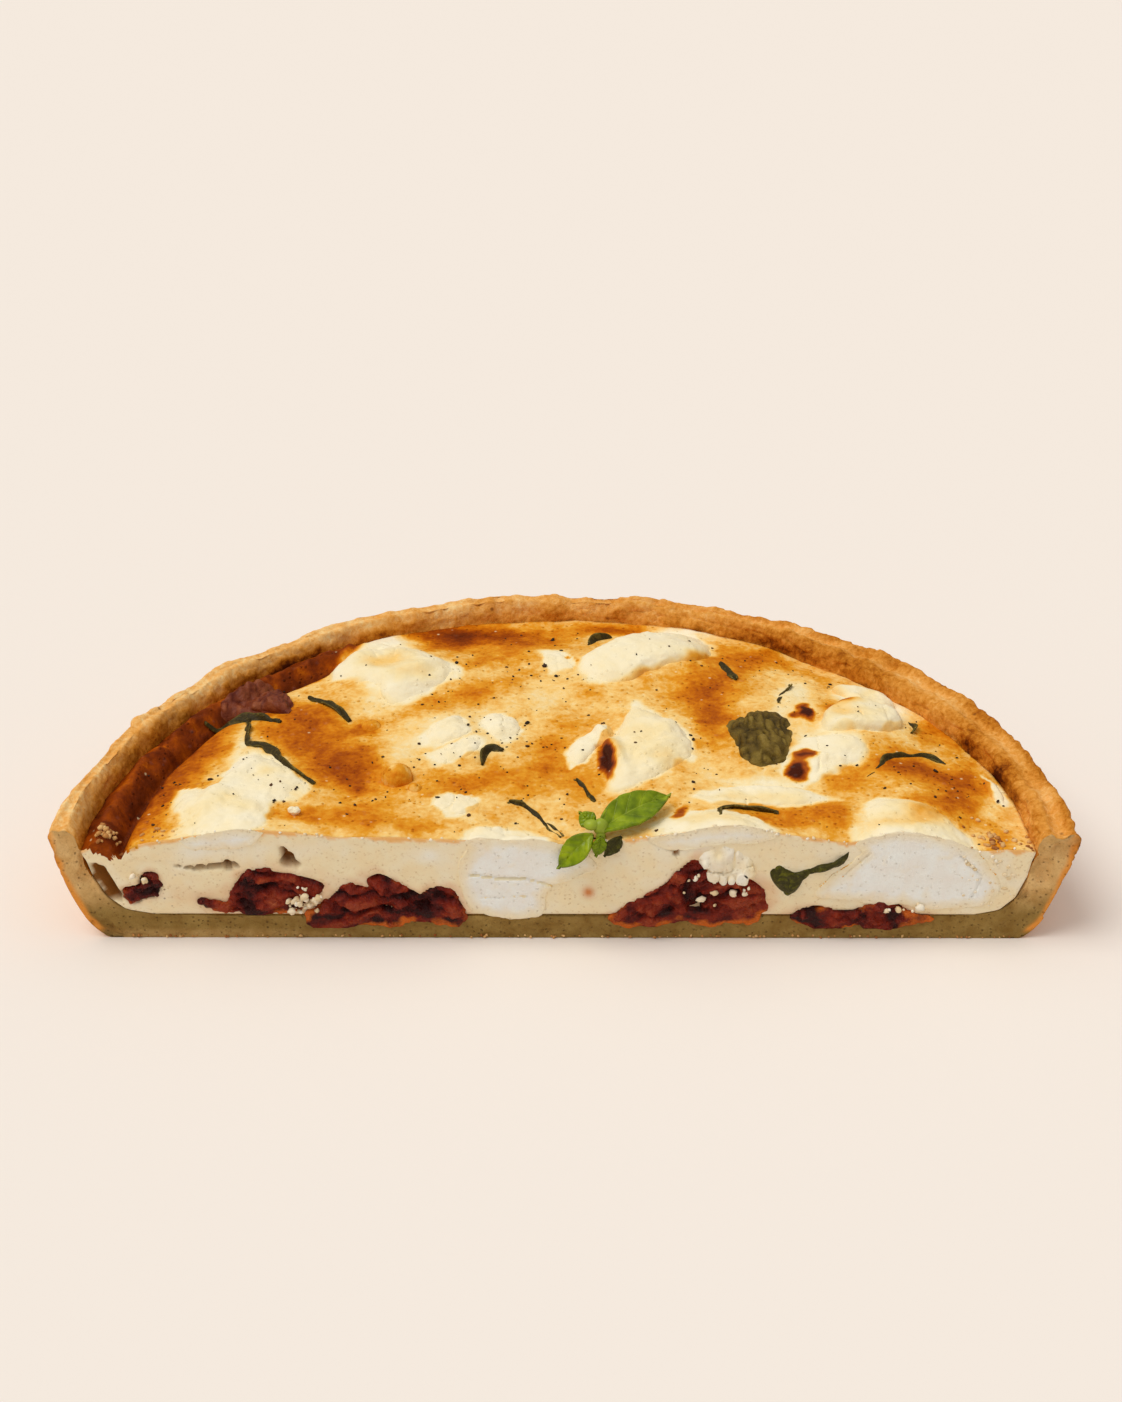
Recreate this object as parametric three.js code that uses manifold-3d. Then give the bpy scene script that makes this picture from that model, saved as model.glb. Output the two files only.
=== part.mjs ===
// Half of a quiche, cut straight across, lying on its pastry base.
// Millimetres, +Z up, +X to the right along the cut, +Y from the cut to the round back.
// Every shape is written with the middle of the cut at x = 0, y = 0 and the underside at z = 0.
import * as THREE from 'three';
import { mergeVertices } from 'three/addons/utils/BufferGeometryUtils.js';
import Module from 'manifold-3d';

const wasm = await Module();
wasm.setup();

// Driving dimensions of the pastry case
const RIM_HEIGHT = 30;
const BASE_RADIUS = 109;
const FLOOR = 6.2;
const RIM_MIDDLE = 118.6;
const RIM_WIDTH = 4.5;

// The wall leans and bulges outside this radius, and the rim's crest is lifted above this height
const WALL_FROM = 90;
const LIFT_FROM = 20;

// Driving dimensions of the filling: its middle height, and how it falls towards the rim
const FILLING_HEIGHT = 28.6;
const EDGE_DROP = 3.8;
const FALL_FROM = 84;
const FALL_REACH = 28;

// Puffed band and the groove beside it along the left rim: radius, reach and height of each,
// and the angle where they end, in degrees from the right end of the cut
const BAND = [110, 2.6, 2.6];
const GROOVE = [105.2, 1.8, -1.8];
const BAND_ENDS_AT = 112;
const BAND_FADES_OVER = 12;

// Place of the cut in the frame, and the sizes of small things
const CUT_Y = -59.2;
const CENTRE_X = 0.8;
const FIT_GAP = 0.3;
const FLECK = 0.95;
const LEAF_THICKNESS = 0.6;
const CUSTARD_FLECKS = 26;
const CHEESE_FLECKS = 2;

// Steps of the round shapes
const CASE_STEPS = 116;
const FILLING_STEPS = 60;
const FILLING_RINGS = 9;
const OUTLINE_STEPS = 48;

const COLOURS = {
  pastry: 0xc98f4e,
  custard: 0xe9c27a,
  cheese: 0xf8efcf,
  tomato: 0x6b2015,
  tomatoSkin: 0x86544e,
  basil: 0x4d9a22,
  bakedBasil: 0x3f4a34,
  crumpled: 0x5c5a36,
};

const clamp = (value, low, high) => Math.min(high, Math.max(low, value));
const smooth = (t) => clamp(t, 0, 1) ** 2 * (3 - 2 * clamp(t, 0, 1));
const bell = (value, centre, reach) => Math.exp(-(((value - centre) / reach) ** 2));
const degrees = THREE.MathUtils.degToRad;

// Seeded random numbers from 0 to 1
function randomFrom(seed) {
  let state = seed;
  return () => {
    state = (state * 1664525 + 1013904223) % 4294967296;
    return state / 4294967296;
  };
}

// Surface of the filling
// Swells and dips of the baked top: centre x and y, reach x and y, height
const SWELLS = [
  [-74, 2, 16, 22, 2.0],
  [-2, -2, 13, 14, -2.6],
  [38, -2, 14, 12, 3.4],
  [67, -3, 6, 8, -1.6],
  [80, -2, 8, 12, 1.2],
  [96, -2, 7, 14, -1.6],
  [-48, 85, 15, 13, 2.2],
  [-24, 46, 14, 12, 1.2],
  [22, 88, 17, 11, 2.0],
  [22, 42, 12, 18, 1.6],
  [74, 52, 13, 14, 2.0],
  [48, 45, 10, 12, 1.0],
];

// How far a point is inside the puffed band along the left rim, from 0 to 1
function bandWeight(angle) {
  return smooth((angle - degrees(BAND_ENDS_AT)) / degrees(BAND_FADES_OVER));
}

function fillingHeight(x, y) {
  const radius = Math.hypot(x, y);
  const angle = Math.atan2(Math.abs(y), x);
  let height = FILLING_HEIGHT - EDGE_DROP * smooth((radius - FALL_FROM) / FALL_REACH);
  for (const [cx, cy, reachX, reachY, rise] of SWELLS) {
    height += rise * bell(x, cx, reachX) * bell(y, cy, reachY);
  }
  for (const [middle, reach, rise] of [BAND, GROOVE]) {
    height += bandWeight(angle) * rise * bell(radius, middle, reach);
  }
  height += 0.35 * Math.sin(x / 6.1) * Math.sin(y / 5.3 + x / 19);
  return height;
}

// Pastry case: profile from the middle of the underside, out, over the rim and back in
const OUTER_WALL = [[0, 0], [60, 0], [BASE_RADIUS, 0], [111.2, 1.4], [113.9, 4.8], [116.4, 11], [118.4, 19]];
const RIM = [[120, 26.4], [119.9, 29], [118.5, 30.1], [117, 29.2], [115.4, 29.9], [114, 28.4]];
const INNER_WALL = [[113, 25], [111.2, 17.5], [108.4, 11.6], [104.6, 8.2], [98, 6.9], [60, 6.4], [0, FLOOR]];
const CASE_PROFILE = [...OUTER_WALL, ...RIM, ...INNER_WALL];

// Uneven hand-folded rim: outward bulge, lift of its crest and shift of its inner side
function rimBulge(angle) {
  const left = 1.8 * bell(angle, Math.PI, 0.1) - 1.2 * bell(angle, 2.88, 0.12);
  const right = 1.7 * bell(angle, 0.72, 0.13) + bell(angle, 0.52, 0.25);
  const folds = 0.35 * Math.sin(16 * angle) + 0.3 * Math.sin(23 * angle + 2);
  return 0.6 + left + right + folds;
}

function rimLift(angle) {
  const ends = 1.6 * bell(angle, 3, 0.2) - 0.8 * bell(angle, 0, 0.2);
  return ends + 0.25 * Math.sin(7 * angle + 1) + 0.35 * Math.sin(19 * angle);
}

function innerShift(angle) {
  return -2.2 + 4 * smooth((angle - degrees(45)) / degrees(30)) - 0.9 * bell(angle, degrees(158), 0.2);
}

// A point of the profile, moved as the hand-made case is at this angle
function placeOnCase(radius, z, angle) {
  const isWall = clamp((radius - WALL_FROM) / 15, 0, 1);
  const isInside = z > FLOOR ? clamp((RIM_MIDDLE - radius) / RIM_WIDTH, 0, 1) : 0;
  const lean = isInside * innerShift(angle) + (1 - isInside) * rimBulge(angle);
  const lift = Math.max(0, (z - LIFT_FROM) / (RIM_HEIGHT - LIFT_FROM)) * rimLift(angle);
  return [radius + (z / RIM_HEIGHT) * isWall * lean, z + lift];
}

// Full turn of a closed profile, whose rows are then placed one by one
function turned(rowCount, steps, place) {
  const rows = Array.from({ length: rowCount }, (_, i) => new THREE.Vector2(i, i));
  const geometry = new THREE.LatheGeometry(rows, steps);
  const position = geometry.attributes.position;
  for (let i = 0; i < position.count; i += 1) {
    const angle = (Math.floor(i / rowCount) / steps) * 2 * Math.PI;
    const folded = Math.min(angle, 2 * Math.PI - angle);
    const [radius, z] = place(i % rowCount, folded);
    position.setXYZ(i, radius * Math.cos(angle), radius * Math.sin(angle), z);
  }
  return geometry;
}

function pastryCase() {
  return turned(CASE_PROFILE.length, CASE_STEPS, (row, angle) => placeOnCase(...CASE_PROFILE[row], angle));
}

// Filling: it follows the inside of the case with a small gap and has the baked top
const FILLING_WALL = INNER_WALL.slice(1, -1).reverse();
const TOP_EDGE = [112.7, 24];

function fillingRow(row, angle) {
  if (row === 0) {
    return [0, FLOOR + FIT_GAP];
  }
  if (row <= FILLING_WALL.length) {
    const [radius, z] = FILLING_WALL[row - 1];
    const [placed, height] = placeOnCase(radius, z, angle);
    const inward = FIT_GAP * clamp((radius - WALL_FROM) / 10, 0, 1.3);
    const upward = FIT_GAP * clamp((TOP_EDGE[0] - radius) / 8, 0, 1);
    return [placed - inward, height + upward];
  }
  const [edge] = placeOnCase(...TOP_EDGE, angle);
  const ring = (row - FILLING_WALL.length - 1) / FILLING_RINGS;
  const radius = ring === 1 ? 0 : (edge - 1.4 * FIT_GAP) * Math.cos((ring * Math.PI) / 2) ** 0.9;
  return [radius, fillingHeight(radius * Math.cos(angle), radius * Math.sin(angle))];
}

function fillingBody() {
  return turned(FILLING_WALL.length + 2 + FILLING_RINGS, FILLING_STEPS, fillingRow);
}

// A lump's outline lies this far below the surface that it stands out of
const SEAT = 0.4;

// Outlines of lumps: smooth closed curves through a few points
function footprint(points) {
  const corners = points.map(([x, y]) => new THREE.Vector3(x, y, 0));
  const ring = new THREE.CatmullRomCurve3(corners, true).getPoints(OUTLINE_STEPS);
  const centre = new THREE.Vector3();
  ring.slice(1).forEach((point) => centre.addScaledVector(point, 1 / OUTLINE_STEPS));
  const reach = (angle) => {
    const [dx, dy] = [Math.cos(angle), Math.sin(angle)];
    let found = 0;
    for (let i = 0; i < OUTLINE_STEPS; i += 1) {
      const a = ring[i];
      const b = ring[i + 1];
      const [ex, ey] = [b.x - a.x, b.y - a.y];
      const cross = dx * ey - dy * ex;
      const along = ((a.x - centre.x) * ey - (a.y - centre.y) * ex) / cross;
      const share = ((a.x - centre.x) * dy - (a.y - centre.y) * dx) / cross;
      if (along > found && share >= 0 && share <= 1) {
        found = along;
      }
    }
    return found;
  };
  return { centre, reach };
}

function roundedBall(around, rows, place) {
  const geometry = new THREE.SphereGeometry(1, around, rows);
  geometry.rotateX(Math.PI / 2);
  const position = geometry.attributes.position;
  for (let i = 0; i < position.count; i += 1) {
    const up = clamp(position.getZ(i), -1, 1);
    const angle = Math.atan2(position.getY(i), position.getX(i));
    const spread = Math.abs(up) > 0.9999 ? 0 : Math.sqrt(1 - up * up) ** 0.7;
    position.setXYZ(i, ...place(angle, spread, up));
  }
  return geometry;
}

// Lump sunk in the baked top: it stands proud by rise and reaches down by deep
function topLump({ outline, rise, deep, crumple = 0, around = 10, rows = 4 }) {
  const { centre, reach } = footprint(outline);
  return roundedBall(around, rows, (angle, spread, up) => {
    const x = centre.x + reach(angle) * spread * Math.cos(angle);
    const y = centre.y + reach(angle) * spread * Math.sin(angle);
    const edge = fillingHeight(x, Math.max(y, 0)) - SEAT;
    const fall = 1 - spread ** 4;
    const fold = up > 0.2 ? crumple * Math.sin(x * 1.3 + 1) * Math.sin(y * 1.1 + x * 0.4) : 0;
    return [x, y, edge + (up >= 0 ? rise : -deep) * fall + fold];
  });
}

// Lump that shows on the cut: its outline is drawn in x and z, and it reaches back by deep
function cutLump({ outline, out = 1, deep = 9, around = 10, rows = 4 }) {
  const { centre, reach } = footprint(outline);
  return roundedBall(around, rows, (angle, spread, up) => {
    const x = centre.x + reach(angle) * spread * Math.cos(angle);
    const z = centre.y + reach(angle) * spread * Math.sin(angle);
    const fall = 1 - spread ** 4;
    const fold = up > 0.2 ? 0.3 * fall * Math.sin(x * 0.9) * Math.sin(z * 1.2) : 0;
    return [x, SEAT - fold + (up > 0 ? -out - SEAT : deep) * fall, z];
  });
}

// Thin sheet from a plane: both faces have the same triangles, and a strip closes its edge
function sheet(lengthSteps, widthSteps, place) {
  const plane = new THREE.PlaneGeometry(1, 2, lengthSteps, widthSteps);
  const source = plane.attributes.position;
  const count = source.count;
  const points = [];
  for (const side of [1, -1]) {
    for (let i = 0; i < count; i += 1) {
      points.push(...place(source.getX(i) + 0.5, source.getY(i), (side * LEAF_THICKNESS) / 2));
    }
  }
  const faces = [];
  for (let i = 0; i < plane.index.count; i += 3) {
    const [a, b, c] = [plane.index.getX(i), plane.index.getX(i + 1), plane.index.getX(i + 2)];
    faces.push(a, b, c, a + count, c + count, b + count);
  }
  const columns = lengthSteps + 1;
  const border = [];
  for (let i = 0; i < lengthSteps; i += 1) {
    border.push([i, i + 1]);
    border.push([widthSteps * columns + i + 1, widthSteps * columns + i]);
  }
  for (let j = 0; j < widthSteps; j += 1) {
    border.push([(j + 1) * columns, j * columns]);
    border.push([j * columns + lengthSteps, (j + 1) * columns + lengthSteps]);
  }
  for (const [a, b] of border) {
    faces.push(a, b, b + count, a, b + count, a + count);
  }
  const geometry = new THREE.BufferGeometry();
  geometry.setAttribute('position', new THREE.Float32BufferAttribute(points, 3));
  geometry.setIndex(faces);
  return geometry;
}

// Leaf blade from its base to its tip, with its upper side turned to a given direction,
// folded along the midrib and wavy at the edge
function leaf({ from, to, width, facing, arch = 1, fold = 0.25, wave = 0.4, steps = 6 }) {
  const start = new THREE.Vector3(...from);
  const run = new THREE.Vector3(...to).sub(start);
  const across = new THREE.Vector3(...facing).cross(run).normalize();
  const up = run.clone().cross(across).normalize();
  return sheet(steps, 2, (t, v, side) => {
    const half = Math.max(0.35, (width / 2) * Math.sin(Math.PI * clamp(t, 0, 1) ** 0.85) ** 0.8);
    const bend = arch * Math.sin(Math.PI * t) + fold * half * Math.abs(v) ** 1.5;
    const lift = bend + wave * v * v * Math.sin(9 * t);
    return start.clone().addScaledVector(run, t).addScaledVector(across, half * v)
      .addScaledVector(up, lift + side).toArray();
  });
}

// Ribbon of baked leaf that lies in the top: its middle line follows the surface
function ribbon({ line, width, tilt = 0.6, lift = 0.25, steps = 6 }) {
  const curve = new THREE.CatmullRomCurve3(line.map(([x, y]) => new THREE.Vector3(x, y, 0)));
  return sheet(steps, 1, (t, v, side) => {
    const middle = curve.getPoint(t);
    const along = curve.getTangent(t);
    const half = (width / 2) * (0.3 + 0.7 * Math.sin(Math.PI * clamp(t, 0.04, 0.96)));
    const reach = half * v * Math.cos(tilt);
    const x = middle.x - along.y * reach + along.y * side * Math.sin(tilt);
    const y = middle.y + along.x * reach - along.x * side * Math.sin(tilt);
    const base = fillingHeight(middle.x, middle.y) + lift + 0.25 * Math.sin(12 * t);
    return [x, y, base + half * v * Math.sin(tilt) + side * Math.cos(tilt)];
  });
}

function bud(x, y, z, size, stretch = [1, 1, 1]) {
  const geometry = new THREE.SphereGeometry(size, 7, 4);
  geometry.scale(...stretch);
  geometry.translate(x, y, z);
  return geometry;
}

// Closed solids
function mergedShape(geometry) {
  const bare = geometry.clone();
  bare.deleteAttribute('normal');
  bare.deleteAttribute('uv');
  const merged = mergeVertices(bare, 1e-3);
  const kept = [];
  for (let i = 0; i < merged.index.count; i += 3) {
    const [a, b, c] = [merged.index.getX(i), merged.index.getX(i + 1), merged.index.getX(i + 2)];
    if (a !== b && b !== c && a !== c) {
      kept.push(a, b, c);
    }
  }
  merged.setIndex(kept);
  return merged;
}

function solidOf(geometry, growth = 0) {
  const shape = mergedShape(geometry);
  shape.computeVertexNormals();
  const position = shape.attributes.position;
  const normal = shape.attributes.normal;
  const points = new Float32Array(position.count * 3);
  for (let i = 0; i < position.count; i += 1) {
    points[3 * i] = position.getX(i) + growth * normal.getX(i);
    points[3 * i + 1] = position.getY(i) + growth * normal.getY(i);
    points[3 * i + 2] = position.getZ(i) + growth * normal.getZ(i);
  }
  const triangles = new Uint32Array(shape.index.array);
  return new wasm.Manifold(new wasm.Mesh({ numProp: 3, vertProperties: points, triVerts: triangles }));
}

// The knife's side of the cut is taken off, with the plane moved forward by growth
function behindCut(solid, growth = 0) {
  const knife = new THREE.BoxGeometry(400, 200, 200);
  knife.translate(0, -100 - growth, 0);
  return solid.subtract(solidOf(knife));
}

function largestBody(solid) {
  const bodies = solid.decompose();
  return bodies.reduce((best, body) => (body.volume() > best.volume() ? body : best));
}

function shapeOf(solid) {
  const mesh = largestBody(solid).getMesh();
  const geometry = new THREE.BufferGeometry();
  geometry.setAttribute('position', new THREE.Float32BufferAttribute(mesh.vertProperties, 3));
  geometry.setIndex(Array.from(mesh.triVerts));
  return geometry;
}

// Pieces, from the ones that keep their whole shape to the ones that give way
const pieces = [];

function addPiece(name, colour, shapes, { flush = false, roughness = 0.6 } = {}) {
  pieces.push({ name, colour, shapes, flush, roughness });
}

function addTomatoes() {
  const lobes = {
    tomato_left: [
      { outline: [[-101.5, 11], [-97, 12.2], [-96.2, 16], [-98.3, 19.2], [-100.6, 17.8], [-101.6, 14.6]] },
      { outline: [[-105.4, 14], [-103.8, 9.8], [-100.4, 11], [-100.6, 14.8]], deep: 5 },
    ],
    tomato_large: [
      {
        outline: [[-84.5, 9.2], [-80.4, 10.4], [-79.4, 15], [-75.6, 19.4], [-66, 19], [-55.8, 15.2],
          [-60, 11.2], [-65.4, 7.4], [-72, 7.2], [-79, 7.2]],
        deep: 12,
        around: 13,
      },
      { outline: [[-87.4, 10.8], [-82, 10.4], [-78, 8], [-84, 8.4]], deep: 3 },
    ],
    tomato_folded: [
      {
        outline: [[-62.8, 7.2], [-57, 11], [-51.4, 15.4], [-45.6, 14.4], [-40.6, 9.6], [-38, 4.6], [-50, 3.2],
          [-59.4, 2.2]],
        deep: 10,
        around: 13,
      },
      {
        outline: [[-47.4, 17.2], [-44.4, 18.8], [-39, 15.6], [-34, 12], [-33, 6], [-39.4, 5], [-44, 9]],
        deep: 11,
      },
      {
        outline: [[-36, 11], [-31.4, 14.8], [-26.6, 14.2], [-24.4, 9.6], [-23.4, 4.8], [-31, 4], [-37, 6]],
        deep: 9,
      },
    ],
    tomato_cluster: [
      {
        outline: [[10, 5.8], [17.8, 11.2], [24, 16], [31.4, 23.4], [35, 18], [33, 8], [27, 4.6], [16, 3]],
        deep: 12,
        around: 13,
      },
      {
        outline: [[30, 16], [39, 17.4], [45, 17], [48.6, 12.2], [45.8, 5.2], [38, 4], [30, 5]],
        deep: 11,
        around: 13,
      },
    ],
    tomato_right: [
      {
        outline: [[53.6, 6.4], [58.8, 9.4], [66, 8], [76, 9.2], [77, 6], [68, 3.8], [60.6, 2.2], [56, 4.2]],
        deep: 8,
      },
      {
        outline: [[72.4, 1.4], [69.8, 7.2], [77.6, 10.8], [82.8, 8.2], [88.8, 6], [82.6, 3.8], [77.8, 2.6]],
        deep: 9,
      },
    ],
  };
  for (const [name, parts] of Object.entries(lobes)) {
    addPiece(name, COLOURS.tomato, parts.map(cutLump), { roughness: 0.3 });
  }
  const wrinkled = {
    outline: [[-89.3, 61.6], [-86.6, 71], [-79.3, 75.8], [-72.6, 73.4], [-70, 66.5], [-70.6, 57.8], [-77, 61],
      [-83, 60.6]],
    rise: 3.4,
    deep: 3,
    crumple: 0.6,
  };
  addPiece('tomato_top', COLOURS.tomatoSkin, [topLump(wrinkled)], { roughness: 0.5 });
}

function addFreshBasil() {
  const short = { arch: 0.4, steps: 4 };
  const blades = [
    leaf({ from: [8, 1.4, 29.8], to: [24.8, 12.6, 31.4], width: 12, facing: [-0.1, -0.5, 1], arch: 1.2 }),
    leaf({ from: [8.2, 0.8, 29.8], to: [-2.2, -1.2, 21], width: 8, facing: [-0.3, -1, 0.6], arch: 0.8 }),
    leaf({ from: [9, 0.2, 29.2], to: [8.2, -1.1, 24], width: 4.2, facing: [0.3, -1, 0.3], ...short }),
    leaf({ from: [7, 1.8, 30.6], to: [3.6, 5, 32.4], width: 4.4, facing: [-0.3, -0.7, 1], ...short }),
  ];
  const buds = [
    bud(8.4, 2, 30.6, 1.9, [1, 1, 1.1]),
    bud(6.2, 1.6, 31.4, 1.6, [1.2, 0.9, 0.8]),
    bud(8.4, 1, 28.4, 1.2, [1, 1, 1.5]),
  ];
  addPiece('basil_sprig', COLOURS.basil, [...buds, ...blades], { roughness: 0.4 });
  const under = [
    leaf({ from: [12.4, 1.4, 28.2], to: [13, -1, 24.2], width: 4, facing: [0, -1, 0.6], ...short }),
  ];
  addPiece('basil_under_sprig', COLOURS.bakedBasil, under, { roughness: 0.5 });
}

// Cheese: blocks that show on the top, three of them on the cut as well
function addCheese() {
  const capOnTomato = {
    outline: [[31.6, 22.8], [33.4, 25], [36.6, 26.4], [40.8, 26.2], [43.4, 23.4], [43.8, 19.6], [41, 17],
      [37.6, 16.4], [34.4, 18.6]],
    out: 0.8,
    deep: 8,
  };
  addPiece('cheese_on_cluster', COLOURS.cheese, [cutLump(capOnTomato)]);
  const blocks = {
    cheese_front_left: {
      outline: [[-89.6, -2], [-93.8, 12.2], [-94.6, 23], [-86.4, 20.8], [-83.4, 29.6], [-78, 39.4],
        [-71.8, 34.6], [-62.4, 21.6], [-68, 12], [-72, -2]],
      rise: 1.5,
      deep: 8.6,
      flush: true,
      around: 13,
    },
    cheese_front_peak: {
      outline: [[20, -6], [21, 5], [27, 10], [36, 11], [44, 9], [50, 3], [49, -6]],
      rise: 0.8,
      deep: 4.6,
      flush: true,
    },
    cheese_back_left: {
      outline: [[-62.4, 78.4], [-57.5, 92], [-50.3, 97.4], [-43.1, 96.8], [-37, 91.4], [-28.8, 76],
        [-44, 62.6], [-50, 70.6], [-57.4, 73.8]],
      rise: 2.2,
      deep: 5,
      crumple: 0.3,
      around: 13,
    },
    cheese_left_rear: {
      outline: [[-35.4, 43.4], [-28.6, 55.4], [-24.6, 51], [-22.8, 47], [-31.6, 41]],
      rise: 1.4,
      deep: 3,
    },
    cheese_left_front: {
      outline: [[-33.8, 36.6], [-31.3, 32], [-23.8, 35.6], [-21, 42.2], [-23, 44.6], [-31, 39.4]],
      rise: 1.2,
      deep: 3,
    },
    cheese_left_side: {
      outline: [[-21.4, 52], [-19.8, 56.6], [-13, 56], [-11.4, 51.4], [-12.8, 43.6], [-17.8, 44]],
      rise: 1.2,
      deep: 3,
    },
    cheese_back_mid: {
      outline: [[3, 84], [14.8, 94.6], [21.8, 101.4], [28, 104], [35.6, 103.6], [38.8, 94.3], [35.8, 86],
        [27, 80.2], [21, 77], [16.6, 73], [8.6, 73], [4, 78]],
      rise: 2.4,
      deep: 6,
      around: 13,
    },
    cheese_back_chip: {
      outline: [[-7, 89.6], [-2, 90.4], [1.6, 85.6], [2, 78.4], [-2.6, 78], [-5.6, 82.2]],
      rise: 0.9,
      deep: 2.4,
      around: 9,
    },
    cheese_centre: {
      outline: [[12.8, 46.6], [17.4, 60.6], [20.8, 58.4], [27.3, 51], [31.9, 39], [26.8, 31], [18.7, 23.6],
        [11.4, 20], [9.4, 29]],
      rise: 2,
      deep: 5,
      around: 13,
    },
    cheese_centre_flake: {
      outline: [[1, 40], [2.7, 32.4], [6, 35.4], [10.8, 49.8], [8.6, 50]],
      rise: 1.3,
      deep: 2.4,
      around: 9,
    },
    cheese_right_strip: {
      outline: [[69.2, 72.2], [79.2, 74.8], [83.6, 71.6], [85.4, 66], [80.6, 63.4], [73.4, 67.6]],
      rise: 1.6,
      deep: 3.4,
    },
    cheese_right_block: {
      outline: [[64.4, 53], [67.6, 59.4], [75, 62.4], [83.4, 61.8], [84.8, 58], [82.2, 48.8], [73.8, 47],
        [65, 47.2]],
      rise: 2.6,
      deep: 6,
      around: 13,
    },
    cheese_right_lower: {
      outline: [[54, 36.4], [58.8, 45.4], [64.4, 45.6], [73.6, 45], [75.6, 36.4], [67.4, 29.2], [59.5, 23],
        [55.2, 29.2]],
      rise: 1.4,
      deep: 4,
    },
    cheese_rim_sliver: {
      outline: [[102.8, 32.8], [105.4, 28.4], [107.6, 20.8], [106.4, 18], [103.6, 23.4]],
      rise: 1.2,
      deep: 2.4,
      around: 9,
    },
    cheese_chip: {
      outline: [[-32.3, 16.6], [-29, 19.6], [-23, 18.6], [-20, 14.2], [-24, 11.2], [-28.8, 10.2]],
      rise: 0.8,
      deep: 2.2,
      around: 9,
    },
    cheese_band: {
      outline: [[29.6, 17], [36, 21.8], [47, 23.2], [58, 21.8], [65.4, 18.2], [57, 15], [42, 14], [34, 14]],
      rise: 1,
      deep: 2.6,
      around: 13,
    },
  };
  for (const [name, { flush, ...form }] of Object.entries(blocks)) {
    addPiece(name, COLOURS.cheese, [topLump(form)], { flush });
  }
}

// Two large blocks are cut through by the knife and reach the top as well
function addCutCheese() {
  const midFace = {
    outline: [[-24, 25], [-24, 9], [-20, 6.4], [-6, 6.4], [-3.6, 14], [8.2, 20.4], [3, 26.4], [-12, 28.4]],
    out: 6,
    deep: 9,
    around: 13,
  };
  const midTop = {
    outline: [[-23, -4], [-23, 4], [-15, 6.6], [-8, 4.4], [-2, -4]],
    rise: 0.7,
    deep: 4,
  };
  addPiece('cheese_front_mid', COLOURS.cheese, [cutLump(midFace), topLump(midTop)], { flush: true });
  const rightFace = {
    outline: [[59.6, 12.6], [67.4, 22], [72, 26.6], [80, 28.6], [91, 26.4], [99.6, 22], [103.6, 14.4],
      [100, 9.4], [86, 8.8], [68, 10.8]],
    out: 6,
    deep: 14,
    around: 13,
  };
  const rightTop = {
    outline: [[69, -4], [70.6, 9], [74, 17], [82, 17.2], [90, 12.4], [97, 2.6], [96, -4]],
    rise: 1.4,
    deep: 6,
  };
  addPiece('cheese_front_right', COLOURS.cheese, [cutLump(rightFace), topLump(rightTop)], { flush: true });
}

function addBakedBasil() {
  const ribbons = {
    basil_beside_tomato: [
      { line: [[-92, 56.6], [-86, 57.4], [-80.4, 57.8], [-75.6, 55.8], [-71.8, 53.8]], width: 3 },
      {
        line: [[-80.4, 57.4], [-80.4, 51], [-78.6, 43], [-74.6, 40.6], [-69.4, 33.4], [-61, 22.8]],
        width: 2.6,
        steps: 11,
      },
    ],
    basil_left: [{ line: [[-66.1, 66.9], [-62.5, 63.9], [-58.9, 59.8], [-54.6, 53.9]], width: 2 }],
    basil_mid: [{ line: [[-20.2, 32], [-19.7, 37], [-18.2, 39.6], [-15.4, 39]], width: 3, steps: 5 }],
    basil_front: [{ line: [[-13.7, 16], [-8.4, 13.4], [-4.4, 8.8], [-1, 3.6]], width: 2.2 }],
    basil_short: [{ line: [[2.4, 26], [5.4, 21.4], [7.4, 16.8]], width: 2, steps: 4 }],
    basil_back: [{ line: [[6.2, 95.6], [9.6, 99.4], [12.8, 101]], width: 3, steps: 4 }],
    basil_back_right: [
      { line: [[41, 84.6], [42.6, 81.4], [43.8, 77.6], [44.4, 74.6]], width: 3.2, steps: 4 },
    ],
    basil_upright: [{ line: [[58.4, 74], [56, 68], [54.8, 62.6]], width: 2.4, steps: 4 }],
    basil_right: [
      {
        line: [[73.6, 27.6], [78, 32], [81.6, 36], [85.4, 38.2], [90, 40], [94.4, 37]],
        width: 2.8,
        steps: 8,
      },
    ],
    basil_beside_block: [{ line: [[87.6, 57.4], [88, 53.6], [87, 50.6]], width: 2.2, steps: 3 }],
    basil_fold: [
      { line: [[51, 10.6], [43.4, 11.8], [37.6, 11], [36.6, 6.4]], width: 2.2, tilt: 1 },
    ],
  };
  for (const [name, parts] of Object.entries(ribbons)) {
    addPiece(name, COLOURS.bakedBasil, parts.map(ribbon), { roughness: 0.7 });
  }
  const moss = {
    outline: [[40.4, 51.6], [45.6, 56.6], [51, 59], [55.6, 54.6], [56.4, 48.8], [52.4, 41], [51.6, 34],
      [47, 32.6], [43.6, 36], [42.8, 45]],
    rise: 3.4,
    deep: 3,
    crumple: 0.7,
    around: 13,
    rows: 6,
  };
  addPiece('basil_crumpled', COLOURS.crumpled, [topLump(moss)], { roughness: 0.8 });
  const onCut = [
    {
      outline: [[48.4, 19.2], [50.4, 21.4], [54.4, 19.4], [58.6, 20], [56.2, 15.6], [53.4, 11.8],
        [50.4, 14.4]],
      deep: 3,
    },
    {
      outline: [[57, 18.4], [58.6, 20.6], [64.6, 22.8], [67, 25.4], [66.6, 21.6], [62, 19.4]],
      deep: 3,
      out: 0.9,
    },
  ];
  addPiece('basil_cut', COLOURS.bakedBasil, onCut.map(cutLump), { roughness: 0.4 });
}

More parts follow.
